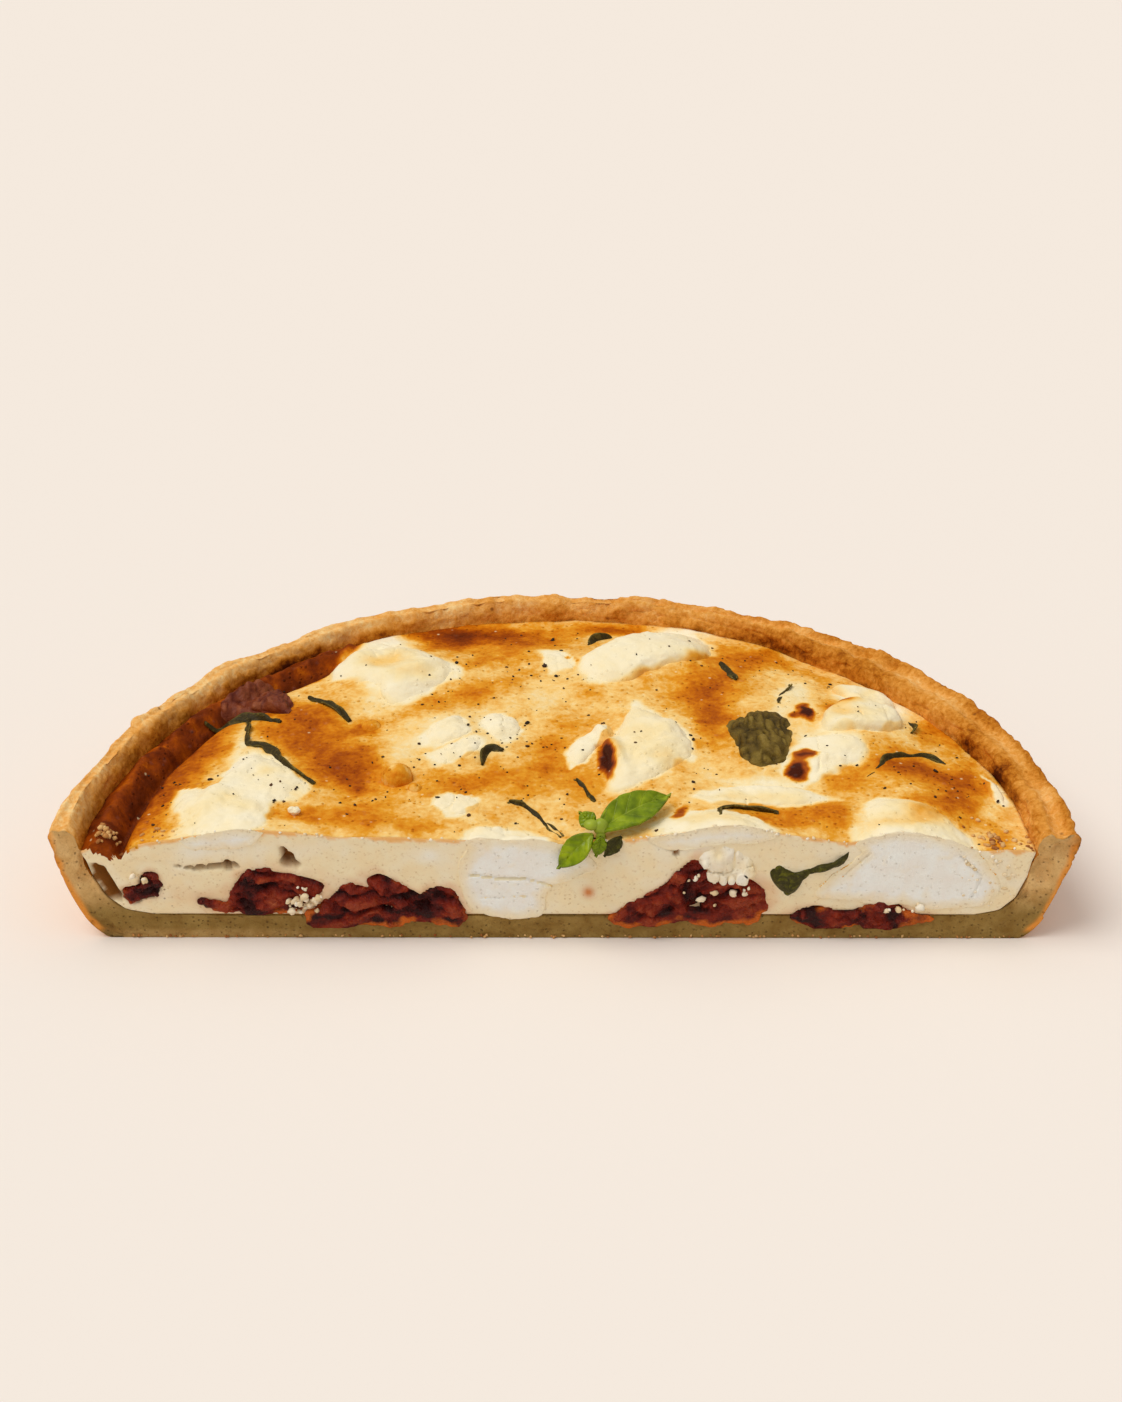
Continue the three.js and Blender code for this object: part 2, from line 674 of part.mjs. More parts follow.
// Air pockets in the cut face
const POCKETS = [
  {
    outline: [[-112.2, 20.4], [-110.6, 19.6], [-108.8, 15.4], [-107, 11.2], [-109, 12.6], [-110.8, 16]],
    deep: 6,
  },
  {
    outline: [[-92.6, 21.2], [-87, 20.6], [-78.4, 21.6], [-77.4, 19.9], [-84.5, 19.7], [-90, 19.9]],
    deep: 5,
  },
  { outline: [[-67.8, 26], [-64.9, 23.8], [-62.9, 20.5], [-66.6, 20.8], [-66.7, 23.6]], deep: 5 },
  { outline: [[21.4, 26.2], [23.4, 26.9], [22.4, 25]], deep: 3 },
];

// Bubbles blown in the baked top: place, size and how far the middle is lifted
const BUBBLES = [
  [-41.4, 26.4, 4, -0.6],
  [-36.4, 21.6, 2, -0.5],
  [-49, 52, 3, -1.9],
  [-64.6, 9.6, 1.7, 0.4],
];

// Pepper flecks and crumbs: drawn over the half disc, well apart and where they are allowed
const FLECK_SEED = 11;
const FLECK_REACH = 100;
const FLECK_SPACING = 7;
const FLECK_TRIES = 4000;

function fleckPlaces(count, seed, allowed) {
  const random = randomFrom(seed);
  const places = [];
  for (let tries = 0; tries < FLECK_TRIES && places.length < count; tries += 1) {
    const radius = FLECK_REACH * Math.sqrt(random());
    const angle = Math.PI * random();
    const [x, y] = [radius * Math.cos(angle), radius * Math.sin(angle)];
    const apart = places.every(([px, py]) => Math.hypot(px - x, py - y) > FLECK_SPACING);
    if (apart && allowed(x, y)) {
      places.push([x, y]);
    }
  }
  return places;
}

function fleck(x, y, z) {
  const geometry = new THREE.OctahedronGeometry(FLECK);
  geometry.rotateZ(3 * x);
  geometry.scale(1.3, 0.9, 0.8);
  geometry.translate(x, y, z);
  return geometry;
}

// Height of a shape's top over a point, or nothing beside it
function topOver(geometry, x, y) {
  const mesh = new THREE.Mesh(geometry, new THREE.MeshBasicMaterial({ side: THREE.DoubleSide }));
  const ray = new THREE.Raycaster(new THREE.Vector3(x, y, 2 * RIM_HEIGHT), new THREE.Vector3(0, 0, -1));
  const hits = ray.intersectObject(mesh);
  return hits.length ? hits[0].point.z : null;
}

function withFlecks(solid, places) {
  const shape = shapeOf(solid);
  const seats = places.map(([x, y]) => [x, y, topOver(shape, x, y)]);
  const seated = seats.filter(([, , z]) => z !== null);
  return seated.reduce((sum, seat) => sum.add(solidOf(fleck(...seat))), solid);
}

function isOverBox(box, x, y, margin) {
  const isOverX = x > box.min.x - margin && x < box.max.x + margin;
  return isOverX && y > box.min.y - margin && y < box.max.y + margin;
}

// Assembly
addTomatoes();
addFreshBasil();
addBakedBasil();
addCheese();
addCutCheese();

const quiche = new THREE.Group();
quiche.position.set(CENTRE_X, CUT_Y, 0);

function addMesh(name, solid, colour, roughness) {
  const material = new THREE.MeshStandardMaterial({ color: colour, roughness, metalness: 0 });
  const mesh = new THREE.Mesh(shapeOf(solid), material);
  mesh.name = name;
  quiche.add(mesh);
}

const clearOf = (solid, rooms) => rooms.reduce((rest, room) => rest.subtract(room), solid);

function joinedSolid(piece, growth) {
  const solids = piece.shapes.map((shape) => solidOf(shape, growth));
  const joined = solids.reduce((sum, solid) => sum.add(solid));
  return piece.flush ? behindCut(joined, growth) : joined;
}

function boxOf(solid) {
  const shape = shapeOf(solid);
  shape.computeBoundingBox();
  return shape.boundingBox;
}

const caseShape = pastryCase();
const caseRoom = behindCut(solidOf(caseShape, FIT_GAP), FIT_GAP);
addMesh('crust', behindCut(solidOf(caseShape)), COLOURS.pastry, 0.75);

// Each piece keeps clear of the case and of the pieces before it
const rooms = [];
const boxes = [];
const CHEESE_WITH_FLECKS = ['cheese_front_left', 'cheese_back_left', 'cheese_centre', 'cheese_right_block'];
const INSET = 3;
for (const piece of pieces) {
  const bare = largestBody(clearOf(joinedSolid(piece, 0), [caseRoom, ...rooms]));
  const box = boxOf(bare);
  const isInside = (x, y) => y > INSET && isOverBox(box, x, y, -INSET);
  const hasFlecks = CHEESE_WITH_FLECKS.includes(piece.name);
  const seed = FLECK_SEED + rooms.length;
  const places = hasFlecks ? fleckPlaces(CHEESE_FLECKS, seed, isInside) : [];
  addMesh(piece.name, withFlecks(bare, places), piece.colour, piece.roughness);
  boxes.push(box);
  rooms.push(joinedSolid(piece, FIT_GAP));
}

// The filling gives way to every piece, to the bubbles blown in it and to its air pockets
const CLEARANCE = 2.2;
const isClear = (x, y) => y > INSET && !boxes.some((box) => isOverBox(box, x, y, CLEARANCE));
const bubbles = BUBBLES.map(([x, y, size, lift]) => bud(x, y, fillingHeight(x, y) + lift, size));
const pockets = POCKETS.map((pocket) => solidOf(cutLump({ ...pocket, around: 8 })));
const blown = bubbles.reduce((sum, bubble) => sum.add(solidOf(bubble)), behindCut(solidOf(fillingBody())));
const filling = largestBody(clearOf(blown, [...pockets, ...rooms]));
const crumbs = fleckPlaces(CUSTARD_FLECKS, FLECK_SEED, isClear);
addMesh('custard', withFlecks(filling, crumbs), COLOURS.custard, 0.45);

export default quiche;
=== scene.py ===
"""Half of a baked quiche, cut straight across: pastry case, custard with goat's cheese,
dried tomatoes, baked and fresh basil, pepper. It lies on a plain pale floor in soft light."""

import math
import random

import bmesh
import bpy
import numpy as np
from mathutils import Matrix, Vector
from mathutils.kdtree import KDTree


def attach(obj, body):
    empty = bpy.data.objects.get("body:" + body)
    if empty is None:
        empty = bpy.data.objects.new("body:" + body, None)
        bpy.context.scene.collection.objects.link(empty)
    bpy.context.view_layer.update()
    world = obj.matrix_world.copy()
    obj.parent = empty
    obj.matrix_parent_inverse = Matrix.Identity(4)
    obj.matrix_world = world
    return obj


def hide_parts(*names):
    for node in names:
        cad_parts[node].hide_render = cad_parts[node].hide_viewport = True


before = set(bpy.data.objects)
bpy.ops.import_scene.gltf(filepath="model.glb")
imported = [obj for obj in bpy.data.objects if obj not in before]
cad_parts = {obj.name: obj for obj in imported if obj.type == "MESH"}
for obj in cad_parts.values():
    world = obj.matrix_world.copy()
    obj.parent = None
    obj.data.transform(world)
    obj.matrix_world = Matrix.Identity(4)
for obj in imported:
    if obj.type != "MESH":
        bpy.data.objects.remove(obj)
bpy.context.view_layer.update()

# Shapes are written in millimetres, with the middle of the cut at x = 0, y = 0 and the underside
# at z = 0; the finished meshes are in metres, in the frame of the solids
MILLIMETRE = 0.001
CENTRE_X = 0.8
CUT_Y = -59.2

# Driving dimensions of the pastry case and the filling, as in the solids. The band along the rim
# and the groove inside it have a radius, a reach and a height
RIM_HEIGHT = 30.0
FLOOR = 6.2
RIM_MIDDLE = 118.6
RIM_WIDTH = 4.5
WALL_FROM = 90.0
LIFT_FROM = 20.0
FILLING_HEIGHT = 28.6
EDGE_DROP = 3.8
FALL_FROM = 84.0
FALL_REACH = 28.0
BAND = (110.0, 2.6, 2.6)
GROOVE = (105.2, 1.8, -1.8)
BAND_ENDS_AT = math.radians(112)
BAND_FADES_OVER = math.radians(12)
BAND_TONE_ENDS_AT = math.radians(117)
FIT_GAP = 0.3
SUNK_IN_FLOOR = 3.2
SEAT = 0.4
LEAF_THICKNESS = 0.6

# Profile of the case: out along the underside, up the wall, over the rim and back in
OUTER_WALL = [(0, 0), (60, 0), (109, 0), (111.2, 1.4), (113.9, 4.8), (116.4, 11), (118.4, 19)]
RIM = [(120, 26.4), (119.9, 29), (118.5, 30.1), (117, 29.2), (115.4, 29.9), (114, 28.4)]
INNER_WALL = [(113, 25), (111.2, 17.5), (108.4, 11.6), (104.6, 8.2), (98, 6.9), (60, 6.4), (0, FLOOR)]
OUTER_STEPS = (3, 8, 4, 6, 10, 13, 12)
CREST_STEPS = (4, 4, 4, 4, 4)
INNER_STEPS = (11, 13, 10, 7, 6, 6, 3)
CASE_COLUMNS = 520

# Fineness of the filling's mesh: columns along the cut, rows to the back, rows down the cut
TOP_COLUMNS = 320
TOP_ROWS = 150
FACE_ROWS = 34
TOP_EDGE = (112.7, 24.0)

# Swells and dips of the baked top: centre x and y, reach x and y, height
SWELLS = [
    (-74, 2, 16, 22, 2.0), (-2, -2, 13, 14, -2.6), (38, -2, 14, 12, 3.4), (67, -3, 6, 8, -1.6),
    (80, -2, 8, 12, 1.2), (96, -2, 7, 14, -1.6), (-48, 85, 15, 13, 2.2), (-24, 46, 14, 12, 1.2),
    (22, 88, 17, 11, 2.0), (22, 42, 12, 18, 1.6), (74, 52, 13, 14, 2.0), (48, 45, 10, 12, 1.0),
]

# How brown the plain top and the band along the rim are, and how dark the groove inside the band is, with
# painted shade
PALE_TONE = 0.40
BAND_TONE = 1.24
GROOVE_SHADE_TONE = 1.36

# Browned and pale patches of the top: centre x and y, reach along and across, turn, amount. The patch at x
# 16, y 109, along the back rim, is partly browning and partly painted shade of the rim
PATCHES = [
    (-94, 38, 25, 8, 72, 0.50), (-101, 12, 13, 5, 85, 0.42), (-88, 60, 8, 6, 60, 0.30),
    (-63, 46, 20, 10, -58, 0.46), (-52, 30, 10, 8, -50, 0.36), (-68, 60, 8, 7, 0, 0.16),
    (-50, 24, 5, 5, 0, 0.20), (-57, 10, 13, 5, 0, 0.36), (-38, 6, 10, 4, 0, 0.24),
    (-90, 6, 6, 4, 0, 0.10), (-22, 24, 15, 6, 8, 0.32), (-4, 30, 8, 8, 40, 0.22),
    (-3, 45, 6, 12, 0, 0.26), (-29, 104, 16, 9, 0, 0.70), (-8, 100, 10, 9, 0, 0.44),
    (-40, 92, 5, 8, 20, 0.20), (-22, 70, 17, 5, 38, 0.30), (-37, 59, 8, 4, 30, 0.22),
    (-24, 84, 12, 5, 25, 0.16), (-49.5, 51, 3.5, 3, 0, 0.40), (-64, 84, 4, 9, 20, 0.16),
    (12, 68, 14, 5, 20, 0.10), (30, 66, 8, 8, 0, 0.16), (41, 76, 10, 17, -10, 0.36),
    (38, 54, 5, 13, 0, 0.38), (51, 92, 8, 6, 0, 0.32), (64, 84, 9, 5, -35, 0.16),
    (69, 64, 4, 8, 0, 0.40), (95, 58, 6, 15, 12, 0.36), (86, 32, 14, 7, -22, 0.54),
    (95, 18, 7, 9, 10, 0.34), (68, 25, 7, 5, 0, 0.30), (60, 11, 12, 7, 0, 0.36),
    (46, 8, 6, 5, 0, 0.18), (104, 8, 5, 9, 0, 0.26), (101, 32, 5, 10, 0, 0.20),
    (16, 109, 13, 4, -4, 0.42), (6, 24, 6, 6, 0, 0.22), (28, 6, 7, 5, 0, 0.10),
    (88, 12, 5, 5, 30, 0.16), (-35, 55, 9, 5, 20, -0.08), (-40, 38, 7, 8, 0, -0.12),
    (-45, 66, 7, 5, 30, -0.22), (-30, 64, 5, 3, 35, -0.10), (50, 24, 16, 4, -6, -0.30),
    (59, 72, 5, 9, 0, -0.18), (-82, 45, 2.5, 14, 0, -0.30), (-49, 101, 9, 6, -20, -0.85),
    (-62, 82, 3, 8, -25, -0.22), (-22, 48, 14, 8, 10, -0.14), (-8, 62, 9, 6, 20, -0.14),
    (77, 67, 9, 5, 10, -0.55), (66, 40, 10, 8, 0, -0.22), (30, 107, 9, 4, 5, -0.60),
    (-64, 4, 4, 2, 0, -0.15), (62, 88, 8, 4, -40, 0.02), (-70, 45, 6, 7, -50, 0.07),
    (-30, 105, 9, 4, 0, 0.14), (56, 58, 6, 8, 0, -0.14), (103, 14, 4, 9, 0, -0.26),
    (78, 64, 11, 10, 0, -0.34), (70.4, 60.8, 4.0, 2.4, 0, 0.58), (16, 108, 8, 3, 0, 0.14),
    (5, 112, 8, 4, 0, 0.10), (-35, 55, 7, 5, 0, -0.08), (47, 77, 5, 7, 0, -0.06),
    (-90, 40, 3, 8, 60, -0.05), (-45, 5, 6, 3, 0, 0.06), (85, 15, 5, 4, 0, 0.10),
    (-10, 100, 6, 5, 0, -0.07), (-20, 76, 7, 5, 20, -0.08), (-58, 92, 5, 6, 0, -0.10),
    (85, 16, 5, 4, 0, 0.14), (-92, 40, 4, 12, 0, 0.05),
]

# Patches that only show on the cheese: golden tints and scorched spots
CHEESE_PATCHES = [
    (-48, 82, 7, 6, 20, 0.32), (-40, 74, 6, 3, 30, 0.18), (69, 64, 4, 8, 0, 0.55),
    (80, 70, 6, 1.5, 50, 0.14), (72, 62, 9, 2, 10, 0.12), (11, 36, 1.6, 8, -6, 0.35),
    (24, 33, 4, 3, 20, 0.14), (87, 11, 6, 5, 20, 0.50), (77, 5, 8, 3, 0, 0.26),
    (-75, 28, 2, 3, 0, 0.14), (34, 6, 8, 3, 0, 0.16), (45, 17, 12, 2.5, 0, 0.16),
    (70.4, 60.8, 4.0, 2.4, 0, 0.76), (72, 52, 6, 4, 0, 0.20), (20, 40, 9, 14, 0, 0.10),
    (-80, 12, 3, 6, 60, 0.10), (14, 98, 4, 3, 0, 0.12), (-90, 8, 4, 8, 0, 0.10),
]
SCORCHES = [
    (10.2, 33.4, 1.9, 6.4, 6, 1.8), (61.4, 57.0, 1.9, 4.6, 8, 1.7),
    (58.2, 56.0, 1.8, 2.0, 0, 0.7), (56.8, 29.4, 2.6, 3.4, -14, 1.9),
    (58.4, 36.2, 3.0, 2.2, 0, 1.05), (61.0, 35.4, 1.4, 1.8, 0, 0.5),
    (27.6, 10.2, 1.6, 4.0, -28, 0.9), (0.4, 86.4, 1.2, 1.2, 0, 0.55),
    (3.2, 84.6, 1.4, 1.2, 0, 0.5), (-32.4, 3.0, 1.4, 1.2, 0, 0.5),
]


def clamp(value, low, high):
    return np.minimum(high, np.maximum(low, value))


def smooth(share):
    share = clamp(share, 0, 1)
    return share * share * (3 - 2 * share)


def bell(value, centre, reach):
    return np.exp(-(((value - centre) / reach) ** 2))


def mixed(share, first, second):
    return first + (second - first) * share


def lattice(cells, seed):
    """One repeatable number from -1 to 1 for each whole-numbered cell."""
    value = cells[..., 0] * 73856093 ^ cells[..., 1] * 19349663 ^ cells[..., 2] * 83492791
    value = (value ^ seed * 40503) & 0xFFFFFFFF
    value = ((value ^ value >> 15) * 2246822519) & 0xFFFFFFFF
    value = ((value ^ value >> 13) * 3266489917) & 0xFFFFFFFF
    return ((value ^ value >> 16) & 0xFFFF) / 32767.5 - 1


def ripple(points, size, seed=0):
    """Soft random ripple from -1 to 1 over points in space, with bumps of the given size."""
    scaled = points / size
    base = np.floor(scaled).astype(np.int64)
    part = scaled - base
    part = part * part * (3 - 2 * part)
    total = np.zeros(points.shape[:-1])
    for corner in np.ndindex(2, 2, 2):
        share = np.where(corner, part, 1 - part).prod(axis=-1)
        total += share * lattice(base + corner, seed)
    return total


def rough(points, size, layers=3, seed=0):
    """Several ripples on top of each other, each half the size and half the height."""
    return sum(ripple(points, size / 2**k, seed + 7 * k) / 2**k for k in range(layers))


def crease(points, size, seed=0):
    """Sharp creases between soft mounds: 0 in a crease, 1 on a mound."""
    return np.abs(ripple(points, size, seed)) ** 0.6


def stacked(x, y, z):
    return np.stack(np.broadcast_arrays(x, y, z), axis=-1).astype(float)


def patch_sum(patches, x, y):
    """Height of a set of soft oval patches over points of the plane."""
    total = np.zeros(np.shape(x))
    for cx, cy, along, across, turn, amount in patches:
        cosine, sine = math.cos(math.radians(turn)), math.sin(math.radians(turn))
        forward = (x - cx) * cosine + (y - cy) * sine
        sideways = (y - cy) * cosine - (x - cx) * sine
        total += amount * np.exp(-((forward / along) ** 2) - (sideways / across) ** 2)
    return total


# Form of the baked top and of the case
def band_weight(angle):
    return smooth((angle - BAND_ENDS_AT) / BAND_FADES_OVER)


def filling_height(x, y):
    """Height of the baked top in its main form, as in the solids."""
    radius = np.hypot(x, y)
    angle = np.arctan2(np.abs(y), x)
    height = FILLING_HEIGHT - EDGE_DROP * smooth((radius - FALL_FROM) / FALL_REACH)
    for cx, cy, reach_x, reach_y, rise in SWELLS:
        height = height + rise * bell(x, cx, reach_x) * bell(y, cy, reach_y)
    for middle, reach, rise in (BAND, GROOVE):
        height = height + band_weight(angle) * rise * bell(radius, middle, reach)
    return height + 0.35 * np.sin(x / 6.1) * np.sin(y / 5.3 + x / 19)


def baked_height(x, y):
    """Height of the baked top with its fine blisters and wrinkles."""
    flat = stacked(x, y, 0)
    radius = np.hypot(x, y)
    angle = np.arctan2(np.abs(y), x)
    fine = 0.28 * rough(flat, 9, 3, 3) + 0.10 * rough(flat, 2.4, 2, 5)
    band = band_weight(angle) * bell(radius, BAND[0], 3.4)
    blisters = 1.0 * band * rough(flat, 3.4, 3, 9)
    crack = -1.5 * band_weight(angle) * bell(radius + 0.9 * ripple(flat, 9, 12), 104.6, 0.9)
    burnt = 0
    for cx, cy, reach_x, reach_y, rise in BURNT_BLISTERS:
        burnt = burnt + rise * bell(x, cx, reach_x) * bell(y, cy, reach_y)
    return filling_height(x, y) + fine + blisters + crack + burnt


def rim_bulge(angle):
    left = 1.8 * bell(angle, math.pi, 0.1) - 1.2 * bell(angle, 2.88, 0.12)
    right = 1.7 * bell(angle, 0.72, 0.13) + bell(angle, 0.52, 0.25)
    return 0.6 + left + right + 0.35 * np.sin(16 * angle) + 0.3 * np.sin(23 * angle + 2)


def rim_lift(angle):
    ends = 1.6 * bell(angle, 3, 0.2) - 0.8 * bell(angle, 0, 0.2)
    return ends + 0.25 * np.sin(7 * angle + 1) + 0.35 * np.sin(19 * angle)


def inner_shift(angle):
    back = 4 * smooth((angle - math.radians(45)) / math.radians(30))
    return -2.2 + back - 0.9 * bell(angle, math.radians(158), 0.2)


def place_on_case(radius, z, angle):
    """A point of the profile, moved as the hand-made case is at this angle: radius and height."""
    is_wall = clamp((radius - WALL_FROM) / 15, 0, 1)
    is_inside = np.where(z > FLOOR, clamp((RIM_MIDDLE - radius) / RIM_WIDTH, 0, 1), 0)
    lean = is_inside * inner_shift(angle) + (1 - is_inside) * rim_bulge(angle)
    lift = np.maximum(0, (z - LIFT_FROM) / (RIM_HEIGHT - LIFT_FROM)) * rim_lift(angle)
    return radius + (z / RIM_HEIGHT) * is_wall * lean, z + lift


# Smooth curves and outlines
def curve_through(points, steps, closed):
    """Places on a smooth curve through a few points; steps is one number, or one for each stretch."""
    points = np.asarray(points, float)
    count = len(points)
    stretches = count if closed else count - 1
    counts = [steps] * stretches if isinstance(steps, int) else list(steps)
    places = []
    for i in range(stretches):
        if closed:
            before, start, end, after = (points[(i + k) % count] for k in (-1, 0, 1, 2))
        else:
            before = points[i - 1] if i > 0 else 2 * points[0] - points[1]
            start, end = points[i], points[i + 1]
            after = points[i + 2] if i + 2 < count else 2 * points[-1] - points[-2]
        gaps = [max(np.linalg.norm(b - a), 1e-4) ** 0.5
                for a, b in ((before, start), (start, end), (end, after))]
        leave = ((start - before) / gaps[0] - (end - before) / (gaps[0] + gaps[1])
                 + (end - start) / gaps[1]) * gaps[1]
        arrive = ((end - start) / gaps[1] - (after - start) / (gaps[1] + gaps[2])
                  + (after - end) / gaps[2]) * gaps[1]
        for k in range(counts[i]):
            t = k / counts[i]
            places.append((2 * t**3 - 3 * t**2 + 1) * start + (t**3 - 2 * t**2 + t) * leave
                          + (3 * t**2 - 2 * t**3) * end + (t**3 - t**2) * arrive)
    if not closed:
        places.append(points[-1])
    return np.array(places)


DIRECTIONS = 180


class Footprint:
    """A closed outline drawn through a few points, seen from its middle."""

    def __init__(self, points):
        ring = curve_through(points, 8, True)
        self.centre = ring.mean(axis=0)
        start = ring - self.centre
        run = np.roll(start, -1, axis=0) - start
        self.angles = np.linspace(-math.pi, math.pi, DIRECTIONS, endpoint=False)
        self.reaches = np.array([self.farthest(start, run, angle) for angle in self.angles])

    @staticmethod
    def farthest(start, run, angle):
        dx, dy = math.cos(angle), math.sin(angle)
        cross = dx * run[:, 1] - dy * run[:, 0]
        cross = np.where(np.abs(cross) < 1e-9, 1e-9, cross)
        along = (start[:, 0] * run[:, 1] - start[:, 1] * run[:, 0]) / cross
        share = (start[:, 0] * dy - start[:, 1] * dx) / cross
        crossed = along[(share >= 0) & (share <= 1) & (along > 0)]
        return crossed.max() if len(crossed) else 0.5

    def reach(self, angle):
        return np.interp(angle, self.angles, self.reaches, period=2 * math.pi)

    def at(self, angle, share):
        """The point in a direction from the middle, at a share of the way to the outline."""
        reach = self.reach(angle) * share
        return self.centre[0] + reach * np.cos(angle), self.centre[1] + reach * np.sin(angle)

    def share(self, first, second):
        """How far out points lie: 0 in the middle, 1 on the outline."""
        dx, dy = first - self.centre[0], second - self.centre[1]
        return np.hypot(dx, dy) / self.reach(np.arctan2(dy, dx))


# Pieces of cheese on the top: outline, how far they stand proud and reach down, crumple
TOP_CHEESE = {
    "cheese_front_left": dict(
        outline=[(-89.6, -2), (-93.8, 12.2), (-94.6, 23), (-86.4, 20.8), (-83.4, 29.6), (-78, 39.4),
                 (-71.8, 34.6), (-62.4, 21.6), (-68, 12), (-72, -2)],
        rise=1.5, deep=8.6, flush=True),
    "cheese_front_peak": dict(
        outline=[(20, -6), (21, 5), (27, 10), (36, 11), (44, 9), (50, 3), (49, -6)],
        rise=0.8, deep=4.6, flush=True),
    "cheese_back_left": dict(
        outline=[(-62.4, 78.4), (-57.5, 92), (-50.3, 97.4), (-43.1, 96.8), (-37, 91.4), (-28.8, 76),
                 (-44, 62.6), (-50, 70.6), (-57.4, 73.8)],
        rise=2.4, deep=5),
    "cheese_left_rear": dict(
        outline=[(-35.4, 43.4), (-28.6, 55.4), (-24.6, 51), (-22.8, 47), (-31.6, 41)],
        rise=1.4, deep=3),
    "cheese_left_front": dict(
        outline=[(-33.8, 36.6), (-31.3, 32), (-23.8, 35.6), (-21, 42.2), (-23, 44.6), (-31, 39.4)],
        rise=1.2, deep=3),
    "cheese_left_side": dict(
        outline=[(-21.4, 52), (-19.8, 56.6), (-13, 56), (-11.4, 51.4), (-12.8, 43.6), (-17.8, 44)],
        rise=1.2, deep=3),
    "cheese_back_mid": dict(
        outline=[(3, 84), (13.6, 96), (20.6, 104), (28, 106.6), (35.6, 104.6), (39.2, 95),
                 (36.4, 86), (27, 80.2), (21, 77), (16.6, 73), (8.6, 73), (4, 78)],
        rise=2.8, deep=6, boxy=6),
    "cheese_back_chip": dict(
        outline=[(-7, 89.6), (-2, 90.4), (1.6, 85.6), (2, 78.4), (-2.6, 78), (-5.6, 82.2)],
        rise=0.9, deep=2.4),
    "cheese_centre": dict(
        outline=[(12.8, 46.6), (17.4, 60.6), (20.8, 58.4), (27.3, 51), (31.9, 39), (26.8, 31),
                 (18.7, 23.6), (11.4, 20), (9.4, 29)],
        rise=2.2, deep=5, boxy=6),
    "cheese_centre_flake": dict(
        outline=[(1, 40), (2.7, 32.4), (6, 35.4), (10.8, 49.8), (8.6, 50)],
        rise=1.3, deep=2.4),
    "cheese_right_strip": dict(
        outline=[(69.2, 72.2), (79.2, 74.8), (83.6, 71.6), (85.4, 66), (80.6, 63.4), (73.4, 67.6)],
        rise=2.2, deep=3.4, boxy=8),
    "cheese_right_block": dict(
        outline=[(64.4, 53), (67.6, 59.4), (75, 62.4), (83.4, 61.8), (84.8, 58), (82.2, 48.8),
                 (73.8, 47), (65, 47.2)],
        rise=3.0, deep=6, boxy=8),
    "cheese_right_lower": dict(
        outline=[(54, 36.4), (58.8, 45.4), (64.4, 45.6), (73.6, 45), (75.6, 36.4), (67.4, 29.2),
                 (59.5, 23), (55.2, 29.2)],
        rise=1.4, deep=4),
    "cheese_rim_sliver": dict(
        outline=[(102.8, 32.8), (105.4, 28.4), (107.6, 20.8), (106.4, 18), (103.6, 23.4)],
        rise=1.2, deep=2.4),
    "cheese_chip": dict(
        outline=[(-32.3, 16.6), (-29, 19.6), (-23, 18.6), (-20, 14.2), (-24, 11.2), (-28.8, 10.2)],
        rise=0.8, deep=2.2),
    "cheese_band": dict(
        outline=[(29.6, 17), (36, 21.8), (47, 23.2), (58, 21.8), (65.4, 18.2), (57, 15), (42, 14),
                 (34, 14)],
        rise=1.0, deep=2.6),
}

# Ridges and hollows of the cheese: centre x and y, reach along and across, turn, height
CHEESE_FORMS = [
    (-54, 89, 9, 3, 62, 1.2), (-47, 96, 7, 2.6, 4, 1.0), (-47, 82, 5, 5, 0, -1.3),
    (-38, 78, 9, 2.2, 38, 0.7), (-42, 69, 8, 2.4, 32, 0.6), (-80, 27, 12, 2.2, 62, 0.6),
    (-74, 32, 5, 3, 0, 0.5), (-86, 12, 3, 10, 0, 0.4), (-88, 20, 2, 6, 0, -0.4),
    (24, 97, 14, 3, 24, 0.7), (12, 82, 8, 4, 10, -0.5), (84, 55, 1.8, 9, 4, 0.9),
    (74, 61, 9, 1.6, 0, 0.9), (70, 54, 3, 4, 0, -0.6), (77, 72, 8, 1.8, 4, 0.9),
    (11.6, 42, 1.3, 13, 12, 1.5), (22, 36, 6, 2, 40, 0.5), (26, 48, 2, 8, -20, 0.5),
    (9.4, 43, 1.2, 8, 14, 1.6), (66, 36, 8, 2, 30, 0.5), (80, 12, 8, 2, 10, 0.6),
    (-28, 52, 5, 1.6, 40, 0.5), (-17, 50, 1.8, 5, 0, 0.5),
]

# The two blocks that the knife went through: a part on the cut and a part on the top
CUT_CHEESE = {
    "cheese_front_mid": (
        dict(outline=[(-24, 25), (-24, 9), (-20, 6.4), (-6, 6.4), (-3.6, 14), (8.2, 20.4), (3, 26.4),
                      (-12, 28.4)], out=6, deep=9),
        dict(outline=[(-23, -4), (-23, 4), (-15, 6.6), (-8, 4.4), (-2, -4)], rise=0.7, deep=4),
    ),
    "cheese_front_right": (
        dict(outline=[(59.6, 12.6), (67.4, 22), (72, 26.6), (80, 28.6), (91, 26.4), (99.6, 22),
                      (103.6, 14.4), (100, 9.4), (86, 8.8), (68, 10.8)], out=6, deep=14),
        dict(outline=[(69, -4), (70.6, 9), (74, 17), (82, 17.2), (90, 12.4), (97, 2.6), (96, -4)],
             rise=1.4, deep=6),
    ),
}
CHEESE_ON_CLUSTER = dict(
    outline=[(31.6, 22.8), (33.4, 25), (36.6, 26.4), (40.8, 26.2), (43.4, 23.4), (43.8, 19.6), (41, 17),
             (37.6, 16.4), (34.4, 18.6)], out=0.8, deep=8)

